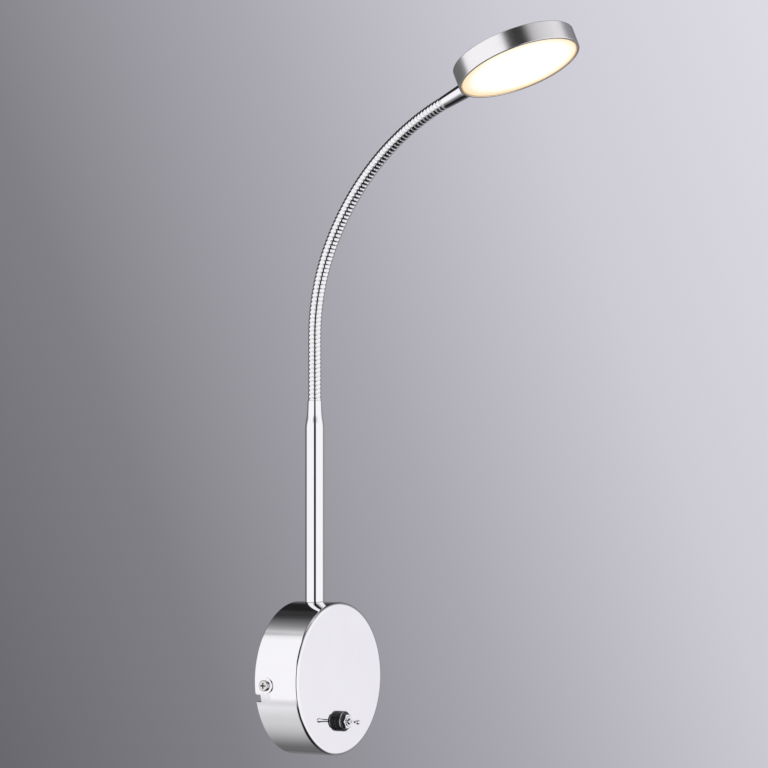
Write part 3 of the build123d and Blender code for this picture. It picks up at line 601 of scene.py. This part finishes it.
CAMERA_TURN = radians(-56.756)
CAMERA_DISTANCE = 2.4
SENSOR_WIDTH, FOCAL_PIXELS, PHOTO_WIDTH = 36, 4578.5, 768
AIM = Vector((18.786, -41.661, 154.124)) * MM
BACK = Vector((sin(CAMERA_TURN), -cos(CAMERA_TURN), 0))
RIGHT = Vector((cos(CAMERA_TURN), sin(CAMERA_TURN), 0))


def studio():
    """A world by direction: what the chrome mirrors, and the backdrop that the camera sees."""
    world = bpy.data.worlds.new("studio")
    world.use_nodes = True
    bpy.context.scene.world = world
    s = Shader(world.node_tree)
    ray = s.node("TexCoord", out="Generated")
    dot = {"operation": "DOT_PRODUCT"}
    ahead = s.node("VectorMath", dot, {0: ray, 1: BACK}, out="Value")
    aside = s.node("VectorMath", dot, {0: ray, 1: RIGHT}, out="Value")
    height = s.parts(ray)[2]
    turn = aside.math("ARCTAN2", aside, ahead)
    around = turn / tau + 0.5
    rise = height.math("ARCSINE", height)

    # angles round the lamp in degrees: 0 is toward the camera and 90 to its right
    def at(angle):
        return (angle + 180) / 360

    def band(*stops):
        return s.ramp(around, *[(at(angle), grey) for angle, grey in stops])

    def round_step(low, high):
        return s.step(around, at(low), at(high))

    def rise_step(low, high):
        return s.step(rise, radians(low), radians(high))

    level = band(
        (-180, 0.20), (-168, 0.15), (-158, 0.13), (-145, 0.14), (-120, 0.16), (-113, 0.22),
        (-106, 1.0), (-10, 1.0), (-7, 0.008), (14, 0.008), (18, 1.0), (100, 1.0),
        (112, 0.91), (117, 0.87), (123, 0.45), (132, 0.27), (160, 0.24), (180, 0.20),
    )
    above = band(
        (-180, 0.016), (-165, 0.016), (-153, 0.040), (-143, 0.060), (-132, 0.16), (-120, 0.31),
        (-108, 0.50), (-98, 0.78), (-88, 1.0), (-28, 1.0), (-22, 0.02), (16, 0.02),
        (34, 0.55), (50, 0.64), (100, 0.68), (125, 0.35), (150, 0.1), (180, 0.016),
    )
    below = band(
        (-180, 0.07), (-165, 0.15), (-150, 0.27), (-132, 0.42), (-115, 0.55), (-98, 0.64),
        (-80, 0.60), (-66, 0.48), (-56, 0.2), (-44, 0.03), (-35, 0.02), (-10, 0.012),
        (20, 0.012), (50, 0.015), (70, 0.025), (90, 0.045), (120, 0.08), (150, 0.07),
        (180, 0.06),
    )

    # how far the upper band has taken over from the level one, sector by sector
    behind = s.step(abs(around - 0.5), 0.40, 0.46)
    middle = round_step(-52, -36) * round_step(62, 44)
    left = round_step(-90, -102) * (1 - behind)
    lift = rise_step(25, 50) * (1 - behind - middle - left)
    lift = lift + rise_step(38, 56) * left
    lift = lift + rise_step(2, 28) * behind
    lift = lift + rise_step(12, 26) * middle
    gloom = rise_step(6, 18) * rise_step(54, 48) * (1 - behind) * round_step(-93, -101)
    sky = s.mix(gloom * 0.96, s.mix(lift, level, above), (0.012, 0.011, 0.013))
    ceiling = s.mix(rise_step(52, 62), sky, (0.10, 0.098, 0.105))
    ceiling = s.mix(rise_step(64, 76), ceiling, (0.52, 0.51, 0.53))

    # the same for the lower band, then the ground and a dark line above it
    front = round_step(-62, -44)
    right = round_step(14, 40)
    fall = rise_step(-20, -56) * (1 - front)
    fall = fall + rise_step(-26, -40) * (front - right)
    fall = fall + rise_step(-37, -49) * right
    walls = s.mix(fall, ceiling, below)
    ground = s.mix(rise_step(-58, -75), walls, (0.018, 0.017, 0.018))
    line = rise_step(-36, -29) * rise_step(-23, -29)
    room = s.mix(line * 0.20, ground, (0, 0, 0))
    lilac = s.mix(round_step(108, 118), (0.992, 0.982, 1.008), (0.975, 0.962, 1.03))
    tinted = s.mix(1.0, room, lilac, blend="MULTIPLY")

    # the backdrop shades from the lower left to the upper right of the picture
    across = aside * 4.2 + height * 1.6
    shade = s.ramp(
        across + 0.5,
        (0.0, (0.135, 0.132, 0.147)),
        (0.24, (0.22, 0.216, 0.241)),
        (0.5, (0.402, 0.396, 0.438)),
        (0.744, (0.61, 0.603, 0.66)),
        (1.0, (0.73, 0.722, 0.786)),
    )
    away = s.mix(s.step(ahead, 0.2, -0.2), (1, 1, 1), s.step(abs(across), 0.6, 1.6))
    backdrop = s.mix(away, shade, (0.46, 0.45, 0.49))
    seen = s.node("LightPath", out="Is Camera Ray")
    glow = s.node("Background", None, {"Color": s.mix(seen, tinted, backdrop), "Strength": 1.0})
    s.node("OutputWorld", None, {"Surface": glow})


studio()

camera = bpy.data.objects.new("camera", bpy.data.cameras.new("camera"))
bpy.context.scene.collection.objects.link(camera)
bpy.context.scene.camera = camera
camera.data.sensor_width = SENSOR_WIDTH
camera.data.lens = SENSOR_WIDTH * FOCAL_PIXELS / PHOTO_WIDTH
camera.data.clip_end = 50
camera.matrix_world = Matrix.Translation(AIM + BACK * CAMERA_DISTANCE) @ Matrix(
    (
        (RIGHT.x, 0, BACK.x, 0),
        (RIGHT.y, 0, BACK.y, 0),
        (0, 1, 0, 0),
        (0, 0, 0, 1),
    )
)
bpy.context.scene.view_settings.view_transform = "Standard"

# a pale floor well under the lamp, and two soft lamps that chrome doesn't mirror
FLOOR_RADIUS = 6.0
FLOOR_CENTRE = (0, -1.0, -2.6)
floor_work = bmesh.new()
bmesh.ops.create_circle(
    floor_work,
    cap_ends=True,
    segments=96,
    radius=FLOOR_RADIUS,
    matrix=Matrix.Translation(FLOOR_CENTRE),
)
floor_mesh = bpy.data.meshes.new("floor")
floor_work.to_mesh(floor_mesh)
floor_work.free()
floor = bpy.data.objects.new("floor", floor_mesh)
bpy.context.scene.collection.objects.link(floor)
floor_mesh.materials.append(
    surface("pale_floor", lambda s: {"Base Color": (0.62, 0.61, 0.65, 1), "Roughness": 0.8})
)
floor.visible_glossy = False


def soft_lamp(name, place, size, power):
    """A round lamp that faces the part and shows neither to the camera nor in the chrome."""
    lamp = bpy.data.lights.new(name, "AREA")
    lamp.shape = "DISK"
    lamp.size = size
    lamp.energy = power
    made = bpy.data.objects.new(name, lamp)
    bpy.context.scene.collection.objects.link(made)
    facing = (place - AIM).to_track_quat("Z", "Y").to_matrix().to_4x4()
    made.matrix_world = Matrix.Translation(place) @ facing
    made.visible_glossy = False
    made.visible_camera = False


soft_lamp("window_side", AIM + (BACK * 1.1 - RIGHT * 1.0 + Vector((0, 0, 0.9))), 1.4, 9.0)
soft_lamp("far_side", AIM + (BACK * 0.7 + RIGHT * 1.4 + Vector((0, 0, 0.3))), 1.4, 5.0)


# ---- shapes ----

# the canopy: drawn sheet, its rim on the wall, two bayonet slots, holes for the stem and switch
CANOPY_RADIUS, CANOPY_DEPTH, CANOPY_WALL, CANOPY_EDGE = 40.0, 26.5, 1.0, 1.8
CANOPY_RIM = 0.3
STEM_HOLE, SWITCH_HOLE, SWITCH_DROP = 4.0, 2.6, 22

# each slot: half its width, the two sides of its mouth, where its run starts, and its screw
SLOT_HALF = 2.2
SLOT_MOUTH = -10.8, -6.4
SLOT_RUN = -8
SCREW_FORWARD, SCREW_DROP = 7.1, 2.0
forward_frame = upright((0, 0, 0), (0, -1, 0), (1, 0, 0))


def side_frame(side, reach):
    """z out of the canopy's side and x forward; the two sides are half a turn apart."""
    return upright((side * reach, 0, 0), (side, 0, 0), (0, -1, 0))


def side_seat(side, reach):
    """The side frame moved to the screw."""
    screw = Vector((SCREW_FORWARD, -SCREW_DROP, 0)) * MM
    return side_frame(side, reach) @ Matrix.Translation(screw)


def switch_frame(forward, axis=(0, -1, 0), across=(1, 0, 0)):
    """A frame on the switch's line, at a distance from the wall."""
    return upright((0, -forward, -SWITCH_DROP), axis, across)


def canopy_shape():
    edge = CANOPY_RADIUS - CANOPY_EDGE
    face = CANOPY_DEPTH - CANOPY_EDGE
    outline = arc(CANOPY_RIM, (CANOPY_RADIUS - CANOPY_RIM, CANOPY_RIM), -90, 0, 5)
    outline += [(CANOPY_RADIUS, forward) for forward in (0.45, 3.2, 13, face - 3, face - 0.35)]
    outline += arc(CANOPY_EDGE, (edge, face), 0, 90, 8)
    outline += [(reach, CANOPY_DEPTH) for reach in (edge - 0.35, edge - 3, 27, 17, 9, 0)]
    bm = settle(spun(outline, 288), forward_frame)
    slot_end = SCREW_FORWARD + SLOT_HALF
    low, high = SLOT_MOUTH
    mouth = [(-0.5, low), (slot_end, low), (slot_end, high), (-0.5, high)]
    run = [(SCREW_FORWARD - SLOT_HALF, SLOT_RUN), (slot_end, SLOT_RUN)]
    run += circle_outline(SLOT_HALF, SCREW_FORWARD, -SCREW_DROP, 12, pi)
    for side in (-1, 1):
        cut_hole(bm, side_frame(side, CANOPY_RADIUS), mouth, (-3, 1))
        cut_hole(bm, side_frame(side, CANOPY_RADIUS), run, (-3, 1))
    top_frame = upright((0, 0, CANOPY_RADIUS), (0, 0, 1), (0, -1, 0))
    cut_hole(bm, top_frame, circle_outline(STEM_HOLE, STEM_FORWARD), (-2, 1))
    cut_hole(bm, forward_frame, circle_outline(SWITCH_HOLE, 0, -SWITCH_DROP), (26, 27))
    # the sheet's inner wall, joined to the outer one round every opening
    inner = bmesh.ops.extrude_face_region(bm, geom=bm.faces[:], use_keep_orig=True)["geom"]
    for vert in inner:
        if isinstance(vert, bmesh.types.BMVert):
            vert.co = inside_sheet(vert.co)
    return bm


def inside_sheet(spot):
    """The point of the canopy's inner wall that lies under a point of its outer wall."""
    reach, forward = hypot(spot.x, spot.z), -spot.y
    edge, face = (CANOPY_RADIUS - CANOPY_EDGE) * MM, (CANOPY_DEPTH - CANOPY_EDGE) * MM
    if forward > face and reach > edge:
        bend_inside = CANOPY_EDGE - CANOPY_WALL
        away = Vector((reach - edge, forward - face)).normalized() * bend_inside * MM
        new_reach, forward = edge + away.x, face + away.y
    elif forward > face:
        new_reach, forward = reach, forward - CANOPY_WALL * MM
    else:
        new_reach = reach - CANOPY_WALL * MM
    share = new_reach / max(reach, TINY)
    return Vector((spot.x * share, -forward, spot.z * share))


# the stem: a tube on the canopy's curve, swaged smaller at its top, threaded below
STEM_RADIUS, STEM_BORE = 5.0, 4.0
THREAD_RADIUS, THREAD_ROOT, THREAD_BORE = 3.9, 3.45, 2.9
STEM_FOOT = 27.9
SWAGE_START, SWAGE_LENGTH, SWAGE_DEPTH = 131.0, 9.0, 1.05


def stem_shape():
    outline = [(THREAD_BORE, STEM_FOOT)]
    for turn in range(11):
        low = STEM_FOOT + turn
        outline += [(THREAD_ROOT, low), (THREAD_RADIUS, low + 0.42), (THREAD_RADIUS, low + 0.58)]
    outline += [(THREAD_RADIUS, 39.2), (4.8, 39.6), (STEM_RADIUS, 39.8)]
    outline += [(STEM_RADIUS, height) for height in (42, 46, 90, 127, 130.2)]
    for index in range(13):
        share = index / 12
        ease = share * share * (3 - 2 * share)
        outline.append((STEM_RADIUS - SWAGE_DEPTH * ease, SWAGE_START + SWAGE_LENGTH * share))
    outline += [(3.88, 141.6), (3.80, 143.4), (3.74, 145.1)]
    outline += arc(0.3, (3.44, 145.3), 0, 90, 4)
    outline += [(3.33, STEM_TOP), (3.2, 145.45), (3.2, 133.6), (3.6, 131.5)]
    outline += [(STEM_BORE, 129.5), (STEM_BORE, 45.2), (THREAD_BORE, 45.0)]
    outline.append((THREAD_BORE, STEM_FOOT))
    bm = spun(outline, 96)
    # the shoulder sits on the canopy's round side
    for vert in bm.verts:
        reach = hypot(vert.co.x, vert.co.y) / MM
        if 39.1 * MM < vert.co.z < 39.9 * MM and reach > 3.85:
            saddle = sqrt(CANOPY_RADIUS**2 - (vert.co.x / MM) ** 2)
            vert.co.z = (saddle + (0.12 if reach > 4.95 else 0.0)) * MM
    return settle(bm, Matrix.Translation((0, -STEM_FORWARD * MM, 0)))


# the gooseneck's hose: one long rounded rib wound round, with a narrow groove between its turns
HOSE_RADIUS, CROWN_HALF, CROWN_RADIUS = 3.5, 0.86, 2.8


def hose_shape(first, last):
    crown = [
        (HOSE_RADIUS - CROWN_RADIUS + sqrt(CROWN_RADIUS**2 - d * d), RIB_PITCH / 2 + d)
        for d in (-CROWN_HALF, -0.6, -0.3, 0, 0.3, 0.6, CROWN_HALF)
    ]
    groove = [(3.09, 0.0), (3.05, 0.09), (3.13, 0.145), (3.24, 0.155), (3.345, 0.195)]
    outline = groove + crown + [(r, RIB_PITCH - h) for r, h in reversed(groove)]
    return bend(wound(outline, RIB_PITCH, first, last, 48))


# the ferrule: a cone between the gooseneck and the head, with a thread that goes into the head
FERRULE_THIN, FERRULE_WIDE, FERRULE_LAP = 3.5, 4.4, 1.2
FERRULE_BORE, FERRULE_SOCKET = 1.3, 2.6
FERRULE_THREAD, FERRULE_ROOT, FERRULE_PITCH = 2.25, 2.02, 0.5


def ferrule_shape():
    end = FERRULE_LENGTH + FERRULE_LAP
    slope = (FERRULE_WIDE - FERRULE_THIN) / end
    outline = [(FERRULE_BORE, 9.0), (FERRULE_SOCKET, 8.05), (FERRULE_SOCKET, 0.15), (2.75, 0)]
    outline += [(3.35, 0), (3.47, 0.05), (3.52, 0.17)]
    outline += [(FERRULE_THIN + slope * x, x) for x in (0.6, 4, 8, 12, 14.6)]
    outline += [(FERRULE_WIDE - 0.1 * slope, end - 0.6), (FERRULE_WIDE, end)]
    outline.append((FERRULE_THREAD, end))
    for turn in range(6):
        low = end + 0.05 + turn * FERRULE_PITCH
        outline += [(FERRULE_THREAD, low + 0.1), (FERRULE_ROOT, low + 0.35)]
    outline += [(FERRULE_THREAD, end + 3.3), (2.1, end + 3.45), (FERRULE_BORE, end + 3.45)]
    outline.append((FERRULE_BORE, 9.0))
    bm = spun(outline, 80)
    # the wide end closes on the head's round side
    for vert in bm.verts:
        reach = hypot(vert.co.x, vert.co.y) / MM
        if vert.co.z > (end - 0.7) * MM and reach > 4.3:
            rim = FERRULE_LENGTH + HEAD_RADIUS - sqrt(HEAD_RADIUS**2 - (vert.co.y / MM) ** 2)
            vert.co.z = (rim - (0.25 if vert.co.z < (end - 0.3) * MM else -0.02)) * MM
    return settle(bm, upright(*neck_frame(NECK_END), HEAD_FACE))


# the head: a turned aluminium cup and its opal disc
HEAD_CHAMFER = 0.35
DIFFUSER_RISE = 8.4


def head_shape():
    half, outer, inner, chamfer = HEAD_HALF, HEAD_RADIUS, HEAD_RADIUS - HEAD_WALL, HEAD_CHAMFER
    outline = [(reach, -half) for reach in (0, 8, 20, outer - 2.4, outer - chamfer - 0.05)]
    outline += arc(chamfer, (outer - chamfer, -half + chamfer), -90, 0, 5)
    outline += [(outer, -half + chamfer + 0.1), (outer, 0), (outer, half - chamfer - 0.1)]
    outline += arc(chamfer, (outer - chamfer, half - chamfer), 0, 90, 5)
    outline += [(inner + 0.12, half), (inner, half - 0.12), (inner, 0), (inner, -half + 1.5)]
    outline += [(reach, -half + HEAD_WALL) for reach in (inner - 0.3, 15, 0)]
    return settle(spun(outline, 240), head_frame)


def diffuser_shape():
    rim, top = DIFFUSER_RADIUS, DIFFUSER_RISE + HEAD_WALL - HEAD_HALF
    outline = [(0, 3.4), (rim - 0.2, 3.4), (rim, 3.6), (rim, top - 0.28)]
    outline += arc(0.24, (rim - 0.24, top - 0.24), 0, 90, 4)
    outline += [(reach, top) for reach in (rim - 0.6, 20, 10, 0)]
    return settle(spun(outline, 240), head_frame)


# the switch's nuts: a black ring nut with a knurled wall and a bare edge, and a face nut over it
RING_RADIUS, RING_GROOVE, RING_HEIGHT = 5.35, 5.17, 3.8
KNURLS, KNURL_DEPTH = 48, 0.005
NUT_FLATS, NUT_HEIGHT, NUT_BORE, NUT_FORWARD = 7.0, 1.6, 2.55, 30.3


def ring_nut_shape():
    outline = [(NUT_BORE, 0.15), (2.7, 0), (5.15, 0), (5.3, 0.06)]
    outline += [(RING_RADIUS, 0.2), (RING_RADIUS, 0.45), (RING_GROOVE, 0.6), (RING_GROOVE, 0.9)]
    outline += [(RING_RADIUS, 1.05), (RING_RADIUS, 1.6), (RING_RADIUS, 2.98)]
    outline += [(5.32, 3.04), (5.02, 3.3), (4.5, 3.76), (4.42, RING_HEIGHT)]
    outline += [(2.7, RING_HEIGHT), (NUT_BORE, 3.65), (NUT_BORE, 0.15)]
    bm = spun(outline, 192)
    # knurls on the wall, and bare metal on the slope of the edge
    for vert in bm.verts:
        if hypot(vert.co.x, vert.co.y) > (RING_RADIUS - 0.01) * MM:
            angle = atan2(vert.co.y, vert.co.x)
            share = 1 - KNURL_DEPTH * (0.5 + 0.5 * cos(KNURLS * angle))
            vert.co.x *= share
            vert.co.y *= share
    for face in bm.faces:
        spot = face.calc_center_median()
        reach = hypot(spot.x, spot.y) / MM
        if spot.z > 3.04 * MM and 5.0 < reach < 5.32:
            face.material_index = 1
    return settle(bm, switch_frame(CANOPY_DEPTH))


def face_nut_shape():
    """A hexagon nut whose corners are broken by a cone at both ends."""
    half, height, bore = NUT_FLATS / 2, NUT_HEIGHT, NUT_BORE
    outline = [(bore, 0.25), (bore + 0.25, 0), (half - 0.1, 0), (half, 0.06), (half, height / 2)]
    outline += [(half, height - 0.06), (half - 0.1, height), (bore + 0.25, height)]
    outline += [(bore, height - 0.25), (bore, 0.25)]
    bm = spun(outline, 120)
    # the round wall is stretched to six flats, and its corners drop along the cone
    for vert in bm.verts:
        if hypot(vert.co.x, vert.co.y) > (half - 0.02) * MM:
            angle = atan2(vert.co.y, vert.co.x) % (pi / 3) - pi / 6
            stretch = 1 / cos(angle)
            vert.co.x *= stretch
            vert.co.y *= stretch
            drop = (stretch - 1) * half * 0.58 * MM
            if vert.co.z < 0.3 * height * MM:
                vert.co.z += drop
            elif vert.co.z > 0.7 * height * MM:
                vert.co.z -= drop
    return settle(bm, switch_frame(NUT_FORWARD))


# the lever: ball, neck and rounded tip in one turned piece, with the arm below it
LEVER_PIVOT = 29.4
LEVER_LEAN = radians(11)
LEVER_ARM, LEVER_BALL, LEVER_NECK, LEVER_TIP = 0.5, 1.5, 0.84, 1.3


def lever_shape():
    outline = [(0, -8.2), (0.3, -8.12), (0.47, -7.95), (LEVER_ARM, -7.7), (LEVER_ARM, -1.42)]
    outline += arc(LEVER_BALL, (0, 0), -70, 57, 16)
    outline += [(LEVER_NECK, 1.3), (LEVER_NECK, 2.4), (0.86, 4.5), (0.90, 6.5)]
    outline += [(0.97, 7.6), (1.06, 8.2), (1.17, 8.8)]
    outline += arc(LEVER_TIP, (0, 9.5), -22, 90, 14)
    axis = (-sin(LEVER_LEAN), -cos(LEVER_LEAN), 0)
    return settle(spun(outline, 64), switch_frame(LEVER_PIVOT, axis, (0, 0, 1)))


# the side screws: a domed head with a cross recess, and a threaded shank, on a washer each
SCREW_HEAD, SCREW_HEIGHT = 2.95, 2.0
SHANK_RADIUS, SHANK_LENGTH, SHANK_PITCH = 2.0, 7.5, 0.7
RECESS_LENGTH, RECESS_WIDTH, RECESS_DEPTH, RECESS_TAPER = 3.2, 0.8, 1.2, 0.72
WASHER_RADIUS, WASHER_BORE, WASHER_THICKNESS = 4.25, 2.1, 0.8


def screw_shape(place):
    head, height, shank, foot = SCREW_HEAD, SCREW_HEIGHT, SHANK_RADIUS, -SHANK_LENGTH
    outline = [(0, foot), (shank * 0.7, foot), (shank * 0.85, foot + 0.4)]
    for turn in range(int((SHANK_LENGTH - 0.9) / SHANK_PITCH)):
        low = foot + 0.55 + turn * SHANK_PITCH
        outline += [(shank * 0.84, low), (shank, low + 0.28), (shank, low + 0.36)]
    outline += [(shank * 0.84, -0.3), (shank, -0.05), (shank + 0.1, 0)]
    outline += [(head - 0.12, 0), (head, 0.12)]
    edge = height * 0.38
    outline += arc(edge, (head - edge, height - edge - 0.12), 0, 72, 8)
    outline += [(head * 0.5, height - 0.04), (head * 0.25, height - 0.01), (0, height)]
    bm = spun(outline, 64)
    # the recess: a cross is cut from the dome, its edge drawn down and in, and its floor closed
    long_half, short_half = RECESS_LENGTH / 2, RECESS_WIDTH / 2
    for x, y in ((long_half, short_half), (short_half, long_half)):
        bar = [(-x, -y), (x, -y), (x, y), (-x, y)]
        cut_hole(bm, Matrix.Identity(4), bar, (height * 0.5, height + 0.1))
    rim = [edge for edge in bm.edges if edge.is_boundary]
    # the recess walls and floor take the second finish, a dark chrome that paints the shade in the
    # cross
    for part in bmesh.ops.extrude_edge_only(bm, edges=rim)["geom"]:
        if isinstance(part, bmesh.types.BMFace):
            part.material_index = 1
        elif isinstance(part, bmesh.types.BMVert):
            x, y = part.co.x * RECESS_TAPER, part.co.y * RECESS_TAPER
            part.co = Vector((x, y, (height - RECESS_DEPTH) * MM))
    bottom = [edge for edge in bm.edges if edge.is_boundary]
    for face in bmesh.ops.holes_fill(bm, edges=bottom, sides=0)["faces"]:
        face.material_index = 1
    return settle(bm, place)


def washer_shape(place):
    outline = [(WASHER_BORE, 0.1), (2.2, 0), (4.15, 0), (WASHER_RADIUS, 0.1)]
    outline += [(WASHER_RADIUS, 0.66), (4.21, 0.76), (4.11, WASHER_THICKNESS)]
    outline += [(2.2, WASHER_THICKNESS), (WASHER_BORE, 0.7), (WASHER_BORE, 0.1)]
    return settle(spun(outline, 80), place)


def side_screws():
    reach = CANOPY_RADIUS + WASHER_THICKNESS
    return joined(screw_shape(side_seat(side, reach)) for side in (-1, 1))


def side_washers():
    return joined(washer_shape(side_seat(side, CANOPY_RADIUS)) for side in (-1, 1))


# ---- pieces ----

# every hose piece spans one hinge of the neck, and the first and last reach to the neck's ends
BLEND_MARGIN = 0.1
for number in range(1, LENGTHS):
    first = 0.0 if number == 1 else (number - 0.5) * LENGTH_PITCH
    last = NECK_END if number == LENGTHS - 1 else (number + 0.5) * LENGTH_PITCH
    run = piece(f"neck_hose_{number:02d}", hose_shape(first, last), ["hose_chrome"], 50)
    joint = number * LENGTH_PITCH
    reach = LENGTH_PITCH / 2 - BLEND_MARGIN
    low, high = [Vector(neck_frame(joint + step)[0]) * MM for step in (-reach, reach)]
    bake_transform(run)
    replaced = [f"neck_length_{number:02d}"]
    if number == LENGTHS - 1:
        replaced.append(f"neck_length_{LENGTHS:02d}")
    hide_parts(*replaced)

# name, shape, finishes, smoothing limit in degrees, body, slot, replaced node
CHROME = "polished_chrome"
BRUSHED = "brushed_aluminium"
OPAL = "opal_diffuser"
RING = "black_ring"
# the screws' second finish is the painted shade of their cross recess
SCREW = "nickel_screw", "screw_recess_painted_shade"
for name, shape, finishes, limit, body, slot, node in (
    ("canopy_cup", canopy_shape, [CHROME], 40, "base", CHROME, "canopy"),
    ("stem_tube", stem_shape, [CHROME], 34, "base", CHROME, "stem"),
    ("ferrule_cone", ferrule_shape, [CHROME], 34, "head", CHROME, "ferrule"),
    ("head_cup", head_shape, [BRUSHED], 40, "head", BRUSHED, "head_shell"),
    ("opal_disc", diffuser_shape, [OPAL], 40, "head", OPAL, "diffuser"),
    ("ring_nut_knurled", ring_nut_shape, [RING, CHROME], 40, "base", RING, "switch_ring_nut"),
    ("face_nut_hexagon", face_nut_shape, [CHROME], 25, "base", CHROME, "switch_face_nut"),
    ("lever_turned", lever_shape, [CHROME], 40, "lever", CHROME, "toggle_lever"),
    ("canopy_screws_cross", side_screws, SCREW, 34, "base", CHROME, "canopy_screws"),
    ("canopy_washers_round", side_washers, [CHROME], 34, "base", CHROME, "canopy_screw_washers"),
):
    piece(name, shape(), finishes, limit, body, [node])
